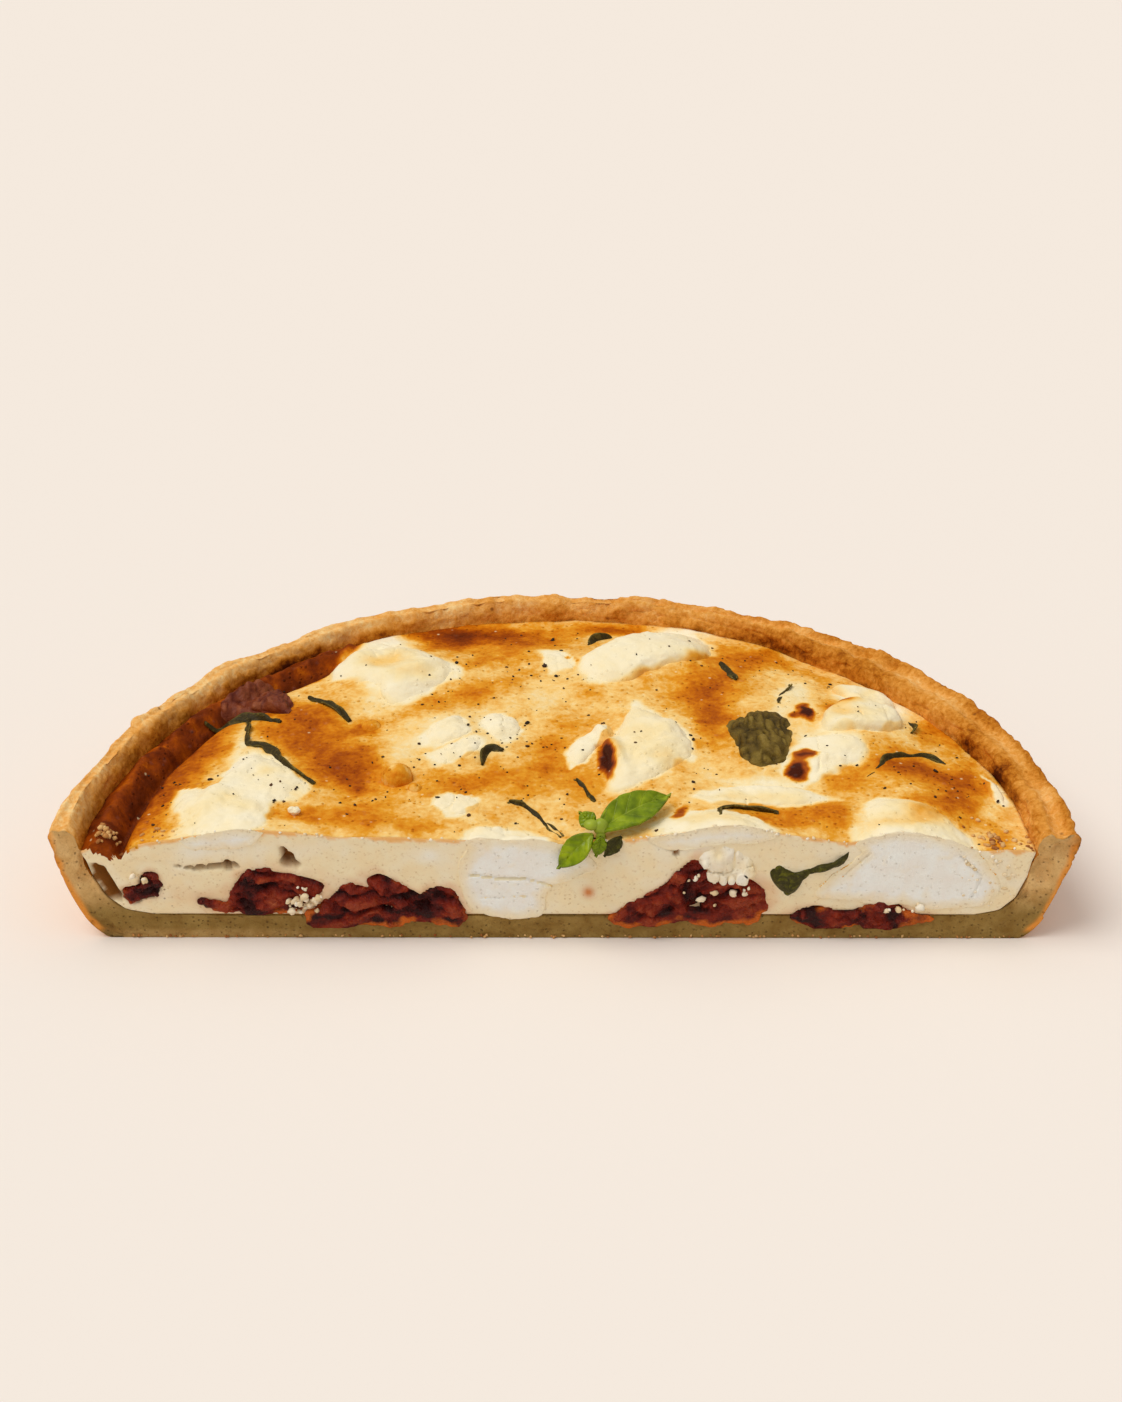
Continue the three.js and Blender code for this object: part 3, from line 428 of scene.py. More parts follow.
# Dried tomatoes on the cut: outlines in x and z of the lobes of each
TOMATOES = {
    "tomato_left": [
        dict(outline=[(-101.5, 11), (-97, 12.2), (-96.2, 16), (-98.3, 19.2), (-100.6, 17.8),
                      (-101.6, 14.6)]),
        dict(outline=[(-105.4, 14), (-103.8, 9.8), (-100.4, 11), (-100.6, 14.8)], deep=5),
    ],
    "tomato_large": [
        dict(outline=[(-84.5, 9.2), (-80.4, 10.4), (-79.4, 15), (-75.6, 19.4), (-66, 19),
                      (-55.8, 15.2), (-60, 11.2), (-65.4, 7.4), (-72, 7.2), (-79, 7.2)], deep=12),
        dict(outline=[(-87.4, 10.8), (-82, 10.4), (-78, 8), (-84, 8.4)], deep=3),
    ],
    "tomato_folded": [
        dict(outline=[(-62.8, 7.2), (-57, 11), (-51.4, 15.4), (-45.6, 14.4), (-40.6, 9.6),
                      (-38, 4.6), (-50, 3.2), (-59.4, 2.2)], deep=10),
        dict(outline=[(-47.4, 17.2), (-44.4, 18.8), (-39, 15.6), (-34, 12), (-33, 6), (-39.4, 5),
                      (-44, 9)], deep=11),
        dict(outline=[(-36, 11), (-31.4, 14.8), (-26.6, 14.2), (-24.4, 9.6), (-23.4, 4.8), (-31, 4),
                      (-37, 6)], deep=9),
    ],
    "tomato_cluster": [
        dict(outline=[(10, 5.8), (17.8, 11.2), (24, 16), (31.4, 23.4), (35, 18), (33, 8), (27, 4.6),
                      (16, 3)], deep=12),
        dict(outline=[(30, 16), (39, 17.4), (45, 17), (48.6, 12.2), (45.8, 5.2), (38, 4), (30, 5)],
             deep=11),
    ],
    "tomato_right": [
        dict(outline=[(53.6, 6.4), (58.8, 9.4), (66, 8), (76, 9.2), (77, 6), (68, 3.8), (60.6, 2.2),
                      (56, 4.2)], deep=8),
        dict(outline=[(72.4, 1.4), (69.8, 7.2), (77.6, 10.8), (82.8, 8.2), (88.8, 6), (82.6, 3.8),
                      (77.8, 2.6)], deep=9),
    ],
}
PALER_TOMATO = {"tomato_large": 0.06, "tomato_folded": 0.06, "tomato_cluster": 0.28,
                "tomato_right": 0.04}
TOMATO_TOP = dict(
    outline=[(-89.3, 61.6), (-86.6, 71), (-79.3, 75.8), (-72.6, 73.4), (-70, 66.5), (-70.6, 57.8),
             (-77, 61), (-83, 60.6)], rise=3.4, deep=3, crumple=0.6)
CRUMPLED_BASIL = dict(
    outline=[(41, 50), (44.6, 54.6), (50, 58), (55, 55.6), (57, 49), (55.4, 41), (53.4, 34),
             (48, 31.6), (43.6, 34), (42, 43)], rise=2.6, deep=3, crumple=0.5)
CUT_BASIL = [
    dict(outline=[(48.4, 19.2), (50.4, 21.4), (54.4, 19.4), (58.6, 20), (56.2, 15.6), (53.4, 11.8),
                  (50.4, 14.4)], deep=3),
    dict(outline=[(57, 18.4), (58.6, 20.6), (64.6, 22.8), (67, 25.4), (66.6, 21.6), (62, 19.4)],
         deep=3, out=0.9),
]

# Baked basil on the top: middle line, width, tilt and lift of each strip
BAKED_STRIPS = {
    "basil_beside_tomato": [
        dict(line=[(-92, 56.6), (-86, 57.4), (-80.4, 57.8), (-75.6, 55.8), (-71.8, 53.8)], width=3),
        dict(line=[(-80.4, 57.4), (-80.4, 51), (-78.6, 43), (-74.6, 40.6), (-69.4, 33.4),
                   (-61, 22.8)], width=2.6),
    ],
    "basil_left": [dict(line=[(-66.1, 66.9), (-62.5, 63.9), (-58.9, 59.8), (-54.6, 53.9)], width=2)],
    "basil_mid": [dict(line=[(-20.2, 32), (-19.7, 37), (-18.2, 39.6), (-15.4, 39)], width=3)],
    "basil_front": [dict(line=[(-13.7, 16), (-8.4, 13.4), (-4.4, 8.8), (-1, 3.6)], width=2.2)],
    "basil_short": [dict(line=[(2.4, 26), (5.4, 21.4), (7.4, 16.8)], width=2)],
    "basil_back": [dict(line=[(6.2, 95.6), (9.6, 99.4), (12.8, 101)], width=3)],
    "basil_back_right": [dict(line=[(41, 84.6), (42.6, 81.4), (43.8, 77.6), (44.4, 74.6)], width=3.2)],
    "basil_upright": [dict(line=[(58.4, 74), (56, 68), (54.8, 62.6)], width=2.4)],
    "basil_right": [
        dict(line=[(73.6, 27.6), (78, 32), (81.6, 36), (85.4, 38.2), (90, 40), (94.4, 37)], width=2.8),
    ],
    "basil_beside_block": [dict(line=[(87.6, 57.4), (88, 53.6), (87, 50.6)], width=2.2)],
    "basil_fold": [dict(line=[(51, 10.6), (43.4, 11.8), (37.6, 11), (36.6, 6.4)], width=2.2, tilt=1)],
}

# Fresh sprig: leaves from base to tip with the side that they turn up, and its buds
SPRIG_LEAVES = [
    dict(base=(7.6, 1.0, 29.8), tip=(24.8, 13.8, 31.4), width=9.0, facing=(-0.1, -0.6, 1), arch=1.8),
    dict(base=(6.6, 0.4, 29.6), tip=(-1.4, -1.2, 21.2), width=6.2, facing=(-0.3, -1, 0.6), arch=1.0),
    dict(base=(8.4, 0.2, 29.2), tip=(7.2, -1.1, 24.6), width=3.8, facing=(0.3, -1, 0.3), arch=0.4),
    dict(base=(7, 1.8, 30.6), tip=(3.6, 5, 32.4), width=4.4, facing=(-0.3, -0.7, 1), arch=0.4),
]
UNDER_LEAF = dict(base=(13.2, 1.0, 28.6), tip=(9.2, -1, 24.4), width=3.6, facing=(0.3, -1, 0.5), arch=0.3)
BUDS = [
    ((8.4, 2, 30.6), (1.9, 1.9, 2.1)),
    ((6.2, 1.6, 31.4), (1.9, 1.5, 1.3)),
    ((8.4, 1, 28.4), (1.2, 1.2, 1.8)),
]

# Air pockets in the cut: outline in x and z, and depth
POCKETS = [
    ([(-112.2, 21), (-109.8, 20.4), (-107.4, 15.6), (-105.6, 10.6), (-108.6, 11.6), (-111, 15.6)], 5),
    ([(-92.6, 21.2), (-87, 20.6), (-78.4, 21.6), (-77.4, 19.9), (-84.5, 19.7), (-90, 19.9)], 4),
    ([(-67.8, 26), (-64.9, 23.8), (-62.9, 20.5), (-66.6, 20.8), (-66.7, 23.6)], 4),
    ([(24.5, 25.9), (25.9, 26.9), (27.1, 25.4), (25.7, 24.3)], 0.9),
]

# Bubbles blown in the baked top, and a white crumb: place, size and how far the middle is lifted
BUBBLES = [(-41.0, 26.4, 3.9, 0.0), (-36.4, 21.6, 1.9, -0.6), (-49, 52, 3, -1.7)]
WHITE_CRUMB = (-64.6, 9.6, 1.5, 0.5)

# Burnt blisters of the top: centre x and y, reach x and y, height
BURNT_BLISTERS = [
    (10.0, 33.2, 2.0, 4.6, 0.5), (61.2, 56.6, 1.8, 3.4, 0.9), (57.0, 30.2, 2.5, 3.4, 0.7),
    (58.6, 36.2, 2.0, 2.0, 0.6),
]

# Large pepper flakes of the top: place and size
LARGE_FLAKES = [
    (-86.5, 26, 1.3), (-75, 32, 1.0), (-97, 17, 0.8), (-71, 20, 1.2), (-69, 22, 0.7), (-69.6, 14, 1.0),
    (-98, 8, 1.0), (-98.4, 26, 0.8), (-3.4, 101, 1.4), (-5.4, 82, 1.5), (-2.4, 77, 1.4), (0.6, 75, 0.8),
    (-28.6, 83, 1.2), (-28.6, 87, 0.7), (-24.6, 89, 0.7), (-15.4, 82, 0.9), (-18.4, 65, 0.9),
    (-32.4, 63, 0.8), (-27, 54, 0.9), (-24.4, 49, 1.0), (-36.4, 42, 1.0), (-36, 35, 0.8),
    (-26, 32, 1.0), (-30.6, 17, 1.1), (-23, 10, 1.3), (-24, 20, 0.8), (-10.6, 17, 0.9), (-11.8, 8, 0.8),
    (-50.4, 14, 0.9), (-54, 15, 0.8), (33, 95, 1.4), (34.4, 105, 0.9), (39.6, 97, 0.9), (52, 108, 0.7),
    (9.6, 52, 1.1), (27.6, 51, 1.1), (31.4, 45, 0.9), (32, 43, 1.2), (30.4, 41, 1.0), (31.6, 39, 0.9),
    (31.2, 24, 1.1), (31.2, 21, 0.8), (78.6, 35.6, 1.0), (91.4, 33, 1.3), (103, 29, 0.9),
    (105, 21, 1.0), (103.6, 36, 0.8), (69.4, 77, 1.0), (87, 72, 0.9), (72, 72.6, 0.9), (-9.6, 52.6, 1.5),
    (-9.4, 41.6, 1.3), (89.4, 18.6, 0.9), (94.6, 12, 0.8), (21.6, 2.4, 1.0),
]

cheese_prints = {name: Footprint(form["outline"]) for name, form in TOP_CHEESE.items()}
cheese_prints.update({name: Footprint(forms[1]["outline"]) for name, forms in CUT_CHEESE.items()})


def browning(x, y, on_cheese):
    """How brown the baked top is: 0 white cheese, 0.4 pale custard, 0.7 golden, 1 brown, 1.5 burnt."""
    flat = stacked(x, y, 0)
    bent_x = x + 1.6 * rough(flat, 7, 3, 21)
    bent_y = y + 1.6 * rough(flat, 7, 3, 22)
    radius = np.hypot(bent_x, bent_y)
    angle = np.arctan2(np.abs(bent_y), bent_x)
    tone = PALE_TONE + patch_sum(PATCHES, bent_x, bent_y) + 0.07 * rough(flat, 6, 4, 23)
    band = smooth((angle - BAND_TONE_ENDS_AT) / math.radians(5)) * smooth((radius - 104.4) / 1.2)
    # The crest of the band is made paler, a painted highlight, and the groove inside it darkest, a painted
    # shade
    crest = bell(radius, BAND[0] - 0.6, 2.2)
    tone = mixed(band, tone, BAND_TONE - 0.12 * crest + 0.2 * rough(flat, 3.6, 3, 24))
    groove = smooth((angle - BAND_TONE_ENDS_AT) / math.radians(5)) * bell(radius, 104.2, 0.9)
    tone = mixed(groove, tone, GROOVE_SHADE_TONE)
    whiteness = np.zeros(np.shape(x))
    edge = 1.0 + 0.09 * rough(flat, 8, 2, 28)
    blur = 0.12 + 0.26 * smooth(ripple(flat, 13, 29) + 0.4)
    for outline in cheese_prints.values():
        whiteness = np.maximum(whiteness, smooth((edge - outline.share(bent_x, bent_y)) / blur + 0.5))
    cheese_tone = 0.05 + patch_sum(CHEESE_PATCHES, bent_x, bent_y) + 0.04 * rough(flat, 5, 3, 25)
    tone = mixed(whiteness * (1.0 if on_cheese else 0.92), tone, cheese_tone)
    scorch = patch_sum(SCORCHES, x + 0.5 * rough(flat, 2, 2, 26), y + 0.5 * ripple(flat, 2, 27))
    burn = 0.95 * smooth((scorch - 0.1) / 0.6) + 0.65 * smooth((scorch - 0.8) / 0.5)
    return np.maximum(tone, burn)


# Meshes; corners nearer to each other than these gaps become one: in lumps, leaves and crumbs
SEAM = 1e-4
LEAF_SEAM = 1e-5
CRUMB_SEAM = 1e-6


def to_frame(points):
    return (np.asarray(points) + (CENTRE_X, CUT_Y, 0)) * MILLIMETRE


def shape_with(*names):
    """An empty shape whose corners will carry the named values."""
    bm = bmesh.new()
    for name in names:
        bm.verts.layers.float.new(name)
    return bm


def add_grid(bm, points, material=0):
    """A sheet of quads whose corners take their places from rows and columns of points."""
    rows, columns = points.shape[:2]
    made = bmesh.ops.create_grid(bm, x_segments=columns - 1, y_segments=rows - 1, size=1)
    for vert, place in zip(made["verts"], points.reshape(-1, 3)):
        vert.co = place
    for face in {face for vert in made["verts"] for face in vert.link_faces}:
        face.material_index = material
    return made["verts"]


def add_ball(bm, around, rows, place):
    """A closed ball whose points are moved by a function of direction, spread and height."""
    made = bmesh.ops.create_uvsphere(bm, u_segments=around, v_segments=rows, radius=1)
    co = np.array([vert.co for vert in made["verts"]])
    up = clamp(co[:, 2], -1, 1)
    spread = np.sqrt(np.maximum(0, 1 - up * up)) ** 0.7
    moved = place(np.arctan2(co[:, 1], co[:, 0]), spread, up)
    for vert, point in zip(made["verts"], moved):
        vert.co = point


def vectors_of(items, label):
    """A value of corners or faces that is made of three numbers, one row for each."""
    values = np.empty(len(items) * 3)
    items.foreach_get(label, values)
    return values.reshape(-1, 3)


def coordinates(mesh):
    return vectors_of(mesh.vertices, "co")


def normals(mesh):
    return vectors_of(mesh.vertex_normals, "vector")


def set_coordinates(mesh, points):
    mesh.vertices.foreach_set("co", np.asarray(points, float).ravel())
    mesh.update()


def set_mask(mesh, name, values):
    mask = mesh.attributes.new(name, "FLOAT", "POINT")
    mask.data.foreach_set("value", np.asarray(values, np.float32))


def closed_mesh(bm, name, merge=SEAM):
    """The finished mesh of a closed shape, with its seams joined and its faces pointing out."""
    bmesh.ops.remove_doubles(bm, verts=bm.verts, dist=merge)
    bmesh.ops.dissolve_degenerate(bm, edges=bm.edges, dist=1e-5)
    bmesh.ops.recalc_face_normals(bm, faces=bm.faces)
    mesh = bpy.data.meshes.new(name)
    bm.to_mesh(mesh)
    bm.free()
    return mesh


def linked_object(name, data):
    made = bpy.data.objects.new(name, data)
    bpy.context.scene.collection.objects.link(made)
    return made


def add_piece(name, mesh, materials, slot, *nodes):
    """A finished piece of the object: its mesh goes to its place in the frame and rides on it."""
    set_coordinates(mesh, to_frame(coordinates(mesh)))
    for polygon in mesh.polygons:
        polygon.use_smooth = True
    for material in materials:
        mesh.materials.append(material)
    piece = linked_object(name, mesh)
    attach(piece, "root")
    if nodes:
        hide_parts(*nodes)


# Size of the faces where lobes are fused into one skin
FLUSH_FINENESS = 0.45
CUT_CHEESE_FINENESS = 0.5
TOMATO_FINENESS = 0.36
CLUSTER_FINENESS = 0.35


def fused_mesh(mesh, name, fineness):
    """One skin round overlapping lobes, with faces of about the given size."""
    lump = linked_object(name, mesh)
    remesh = lump.modifiers.new("Skin", "REMESH")
    remesh.mode = "VOXEL"
    remesh.voxel_size = fineness
    graph = bpy.context.evaluated_depsgraph_get()
    skin = bpy.data.meshes.new_from_object(lump.evaluated_get(graph))
    bpy.data.objects.remove(lump)
    skin.name = name
    return skin


# Lumps in the filling
def top_lump(form):
    """Placing of a lump that is sunk in the baked top."""
    outline = Footprint(form["outline"])
    crumple = form.get("crumple", 0)

    def place(angle, spread, up):
        x, y = outline.at(angle, spread)
        edge = filling_height(x, np.maximum(y, 0)) - SEAT
        fold = np.where(up > 0.2, crumple * np.sin(x * 1.3 + 1) * np.sin(y * 1.1 + x * 0.4), 0)
        fall = 1 - spread ** form.get("boxy", 4)
        return stacked(x, y, edge + np.where(up >= 0, form["rise"], -form["deep"]) * fall + fold)

    return place


def cut_lump(form):
    """Placing of a lump that shows on the cut and reaches back from it."""
    outline = Footprint(form["outline"])
    out, deep = form.get("out", 1), form.get("deep", 9)

    def place(angle, spread, up):
        x, z = outline.at(angle, spread)
        fall = 1 - spread**4
        fold = np.where(up > 0.2, 0.3 * fall * np.sin(x * 0.9) * np.sin(z * 1.2), 0)
        return stacked(x, SEAT - fold + np.where(up > 0, -out - SEAT, deep) * fall, z)

    return place


# The knife's cut: crumble in front of it, how far back and how steep its faces reach, and where
# the hidden part of a piece begins
CUT_SKIN = 0.14
CUT_ENDS_AT = 0.4
CUT_SLOPE = 0.55
BEHIND_CUT = 0.8

# How far the tomatoes and the lump on the cluster stand out of the cut at most
TOMATO_OUT = 1.9
CLUSTER_OUT = 1.3


def flush_with_cut(points):
    """Points in front of the knife's cut are moved onto it, with the fine crumble of cut cheese."""
    crumble = CUT_SKIN + 0.10 * rough(points, 3.2, 3, 31) + 0.07 * crease(points * (1, 1, 1.5), 1.6, 33)
    crumble = crumble - crack_depth(points[:, 0], points[:, 2])
    return np.column_stack((points[:, 0], np.maximum(points[:, 1], -crumble), points[:, 2]))


def edge_nearness(points, reach):
    """How near to its outline a point on the cut lies: 1 at the edge, 0 further in than reach."""
    back = np.flatnonzero(points[:, 1] > BEHIND_CUT)
    tree = KDTree(len(back))
    for place, index in enumerate(back):
        tree.insert(points[index], place)
    tree.balance()
    front = points[:, 1] < BEHIND_CUT
    gap = np.zeros(len(points))
    gap[front] = [tree.find(point)[2] for point in points[front]]
    return np.where(front, 1 - np.minimum(1, np.maximum(0, gap - BEHIND_CUT) / reach), 1)


def sit_on_case(points):
    """Points that would reach into the floor of the case are lifted onto it."""
    return np.column_stack((points[:, :2], np.maximum(points[:, 2], FLOOR - SUNK_IN_FLOOR)))


def relief_on(points, normal, amount):
    return points + normal * amount[:, None]


def set_browning(mesh, points, on_cheese):
    set_mask(mesh, "browning", browning(points[:, 0], points[:, 1], on_cheese))


def mark_cut(mesh):
    """Faces on the knife's cut take the second material, so that the cut stays pale."""
    normal, centre = vectors_of(mesh.polygons, "normal"), vectors_of(mesh.polygons, "center")
    is_cut = (centre[:, 1] < CUT_ENDS_AT) & (normal[:, 2] < CUT_SLOPE)
    mesh.polygons.foreach_set("material_index", is_cut.astype(np.int32))


def add_cheese(name, mesh, points, materials, node, is_cut):
    """A finished piece of cheese; where the knife went through it, its face is pale."""
    set_coordinates(mesh, points)
    set_browning(mesh, points, True)
    if is_cut:
        mark_cut(mesh)
        set_mask(mesh, "fringe", fringe_of(points))
    add_piece(name, mesh, materials, "cheese", node)


def make_top_cheese(node, form, materials):
    name = node + "_lump"
    bm = bmesh.new()
    add_ball(bm, 128, 64, top_lump(form))
    mesh = closed_mesh(bm, name)
    if form.get("flush"):
        mesh = fused_mesh(mesh, name, FLUSH_FINENESS)
    points = coordinates(mesh)
    points = relief_on(points, normals(mesh), cheese_relief(points))
    if form.get("flush"):
        points = flush_with_cut(points)
    add_cheese(name, mesh, points, materials, node, form.get("flush"))


def cheese_relief(points):
    """Soft lumps with the broken, crumbly edges of fresh goat's cheese."""
    soft = 0.36 * rough(points, 7, 3, 41)
    shaped = 1.3 * patch_sum(CHEESE_FORMS, points[:, 0], points[:, 1]) * smooth((points[:, 2] - 26) / 2)
    broken = 1 - smooth(crease(points * (1, 0.7, 1), 6, 42) / 0.3)
    breaks = -0.5 * broken * smooth(ripple(points, 11, 44) * 2)
    grain = 0.18 * rough(points, 2.0, 2, 43) + 0.12 * rough(points, 1.1, 1, 48)
    return soft + shaped + breaks + grain


def fringe_of(points):
    """How far the cut cheese has run into the custard round it."""
    near = edge_nearness(points, 3.6)
    return clamp(1.25 * near - 0.25 + 0.45 * rough(points, 2.6, 3, 49) * (1 - near), 0, 1)


def make_cut_cheese(node, forms, materials):
    name = node + "_lump"
    bm = bmesh.new()
    add_ball(bm, 96, 48, cut_lump(forms[0]))
    add_ball(bm, 64, 32, top_lump(forms[1]))
    mesh = fused_mesh(closed_mesh(bm, name), name, CUT_CHEESE_FINENESS)
    points = coordinates(mesh)
    ragged = 0.5 * rough(points, 4, 3, 45)
    points = flush_with_cut(relief_on(points, normals(mesh), ragged + cheese_relief(points) * 0.6))
    add_cheese(name, mesh, points, materials, node, True)


# The filling
POCKET_PRINTS = [(Footprint(outline), depth) for outline, depth in POCKETS]
TOMATO_PRINTS = [Footprint(lobe["outline"]) for lobes in TOMATOES.values() for lobe in lobes]

# Depth of the beds that the tomatoes lie in, the left end of the baked band on the cut (how far
# from the middle, and its lowest point), and the small chip of tomato: x and z
TOMATO_BED = 2.6
BAND_END = 107.4
BAND_FOOT = 22.4
TOMATO_CHIP = (5.6, 13.2)

# Cracks in the cut: from x and z to x and z, width and depth
CUT_CRACKS = [
    (-22.5, 18.4, -16, 17.4, 0.35, 0.7), (-16, 17.4, -9, 17.2, 0.45, 0.8),
    (-9, 17.2, -3, 15.2, 0.35, 0.6), (-20, 11.6, -9, 12.2, 0.25, 0.35),
    (7.6, 12.4, 12, 9.6, 0.25, 0.3), (66, 18, 72, 24.5, 0.3, 0.45), (93, 24, 99, 18, 0.35, 0.5),
    (99, 18, 97, 12, 0.3, 0.5), (-103, 22.5, -94, 21.2, 0.25, 0.3),
]


def crack_depth(x, z):
    """How deep the thin cracks of the cut are at a place."""
    depth = np.zeros(np.shape(x))
    for x0, z0, x1, z1, width, deepest in CUT_CRACKS:
        run_x, run_z = x1 - x0, z1 - z0
        along = clamp(((x - x0) * run_x + (z - z0) * run_z) / (run_x**2 + run_z**2), 0, 1)
        gap = np.hypot(x - x0 - along * run_x, z - z0 - along * run_z)
        gap = gap + 0.5 * np.abs(np.sin(1.3 * x) * np.sin(1.1 * z + x)) * width
        depth = np.maximum(depth, deepest * bell(gap, 0, width))
    return depth


def pocket_share(x, z):
    """How far into an air pocket of the cut points lie, and how deep it is there."""
    share = np.zeros(np.shape(x))
    depth = np.zeros(np.shape(x))
    place = stacked(x, 0, z)
    bent_x, bent_z = x + 0.5 * rough(place, 1.6, 2, 56), z + 0.5 * rough(place, 1.6, 2, 57)
    for outline, deepest in POCKET_PRINTS:
        inside = smooth((1.08 - outline.share(bent_x, bent_z)) / 0.22)
        share = np.maximum(share, inside)
        depth = np.maximum(depth, inside * deepest)
    return share, depth


def half_disc(across, back):
    """A place of the unit square -1 to 1 by 0 to 1 on the unit half disc."""
    return across * np.sqrt(1 - back**2 / 2), back * np.sqrt(1 - across**2 / 2)


def filling_edge(x, y):
    """Radius of the filling's top edge in a direction: it just meets the baked pastry."""
    angle = np.arctan2(y, x)
    radius, _ = place_on_case(np.full(np.shape(x), TOP_EDGE[0]), TOP_EDGE[1], angle)
    return radius


def filling_top():
    across, back = np.meshgrid(np.linspace(-1, 1, TOP_COLUMNS + 1), np.linspace(0, 1, TOP_ROWS + 1))
    x, y = half_disc(across, back)
    edge = filling_edge(x, y)
    return stacked(x * edge, y * edge, baked_height(x * edge, y * edge))


def wall_at(height):
    """Radius of the case's inner wall at a height, before it leans."""
    places = sorted((z, radius) for radius, z in [*INNER_WALL[1:-1], TOP_EDGE])
    return np.interp(height, [z for z, _ in places], [radius for _, radius in places])


FACE_BOTTOM = 7.0


def side_of_filling(across, back, height):
    """A point of the filling's hidden side, or of its cut where that meets the side."""
    x, y = half_disc(across, back)
    angle = np.arctan2(y, x)
    radius, z = place_on_case(wall_at(height), height, angle)
    return stacked((radius - FIT_GAP) * np.cos(angle), (radius - FIT_GAP) * np.sin(angle), z)


def rows_down():
    """The rows below the filling's top edge: share of the way down, and height."""
    down = np.linspace(0, 1, FACE_ROWS + 1)[:, None]
    return down, mixed(down, TOP_EDGE[1], FACE_BOTTOM)


def filling_cut(top_row):
    """The cut face: from the top edge down to the floor of the case, with its air pockets."""
    down, level = rows_down()
    across = np.linspace(-1, 1, TOP_COLUMNS + 1)[None, :]
    right = side_of_filling(1.0, 0.0, level)
    left = side_of_filling(-1.0, 0.0, level)
    side_x = mixed((across + 1) / 2, left[..., 0], right[..., 0])
    side_z = mixed((across + 1) / 2, left[..., 2], right[..., 2])
    edge_z = mixed((across + 1) / 2, left[:1, :, 2], right[:1, :, 2])
    x = mixed(smooth(down * 6), top_row[None, :, 0], side_x)
    z = side_z + (top_row[None, :, 2] - edge_z) * (1 - down)
    _, depth = pocket_share(x, z)
    flat = stacked(x, 0, z)
    inner = np.minimum(1, 8 * np.minimum(down, 1 - down)) * np.minimum(1, 40 * (1 - np.abs(across)))
    bed = np.zeros(x.shape)
    for outline in TOMATO_PRINTS:
        bed = np.maximum(bed, smooth((0.96 - outline.share(x, z)) / 0.2))
    depth = np.maximum(depth, TOMATO_BED * bed) + crack_depth(x, z)
    depth = depth + 0.07 + 0.07 * rough(flat * (1, 1, 1.6), 2.6, 3, 51)
    return stacked(x, depth * inner, z)


def filling_side(top, cut):
    """The hidden wall of the filling, from the top's round edge down to the floor."""
    outer = np.concatenate((top[:, -1], top[-1, -2::-1], top[-2::-1, 0]))
    back = np.linspace(0, 1, TOP_ROWS + 1)
    across = np.linspace(-1, 1, TOP_COLUMNS + 1)
    across_path = np.concatenate((np.ones(TOP_ROWS + 1), across[-2::-1], -np.ones(TOP_ROWS)))
    back_path = np.concatenate((back, np.ones(TOP_COLUMNS), back[-2::-1]))
    _, level = rows_down()
    wall = side_of_filling(across_path[None, :], back_path[None, :], level)
    wall[0] = outer
    wall[:, 0] = cut[:, -1]
    wall[:, -1] = cut[:, 0]
    return wall


def make_custard(materials):
    bm = bmesh.new()
    top = filling_top()
    cut = filling_cut(top[0])
    add_grid(bm, top, 0)
    add_grid(bm, cut, 1)
    add_grid(bm, filling_side(top, cut), 1)
    bmesh.ops.remove_doubles(bm, verts=bm.verts, dist=1e-4)
    rim = [edge for edge in bm.edges if edge.is_boundary]
    base = bmesh.ops.holes_fill(bm, edges=rim, sides=0)["faces"]
    bmesh.ops.triangulate(bm, faces=base)
    for face in bm.faces:
        middle = face.calc_center_median()
        uneven = 0.3 * math.sin(3 * middle.x)
        if middle.y < 1 and middle.z > BAND_FOOT + 0.55 * abs(middle.x + BAND_END) + uneven:
            face.material_index = 0
    mesh = closed_mesh(bm, "custard_body")
    points = coordinates(mesh)
    set_browning(mesh, points, False)
    share, _ = pocket_share(points[:, 0], points[:, 2])
    # Pocket mask: the walls of the air pockets are coloured olive-brown, painted shade inside them
    set_mask(mesh, "pocket", share * (points[:, 1] < 8) * (points[:, 2] < 27))
    set_mask(mesh, "curd", curd_share(points))
    set_mask(mesh, "stain", stain_share(points))
    set_mask(mesh, "specked", speck_share(points))
    set_mask(mesh, "gilded", gilded_share(points))
    add_piece("custard_body", mesh, materials, "custard", "custard")


def gilded_share(points):
    """The thin, uneven golden skin that shows along the top edge of the cut."""
    x, y, z = points.T
    skin = 0.9 + 0.7 * rough(stacked(x, 0, 0), 2.6, 3, 47)
    under = filling_height(x, np.zeros(x.shape)) - z
    return 0.8 * smooth((skin - under) / 0.7 + 0.3) * smooth((2 - y) / 1.5)


def speck_share(points):
    """Where dark specks lie thick in the cut: at its left and along the floor."""
    x, _, z = points.T
    left = smooth((-66 - x) / 10) * smooth((x + 104) / 6) * smooth((20 - z) / 5)
    low = smooth((8.6 - z) / 1.6)
    return clamp(0.10 + 0.7 * left + 0.8 * low, 0, 1)


CURD_PATCHES = [
    (-83, 25.5, 11, 3, 0, 0.8), (-32, 23.5, 5, 2.6, 0, 0.7), (-62, 25, 5, 2.5, 0, 0.35),
    (30, 26.5, 7, 3, 10, 0.8), (-8, 22, 16, 5, 0, 0.5), (82, 19, 20, 8, 0, 0.7),
    (78, 28, 8, 3, 0, 0.6),
]


def curd_share(points):
    """Where the cut custard turns to the cooler white of cheese."""
    tone = patch_sum(CURD_PATCHES, points[:, 0], points[:, 2])
    return clamp(tone + 0.25 * rough(points, 4, 3, 53), 0, 1)


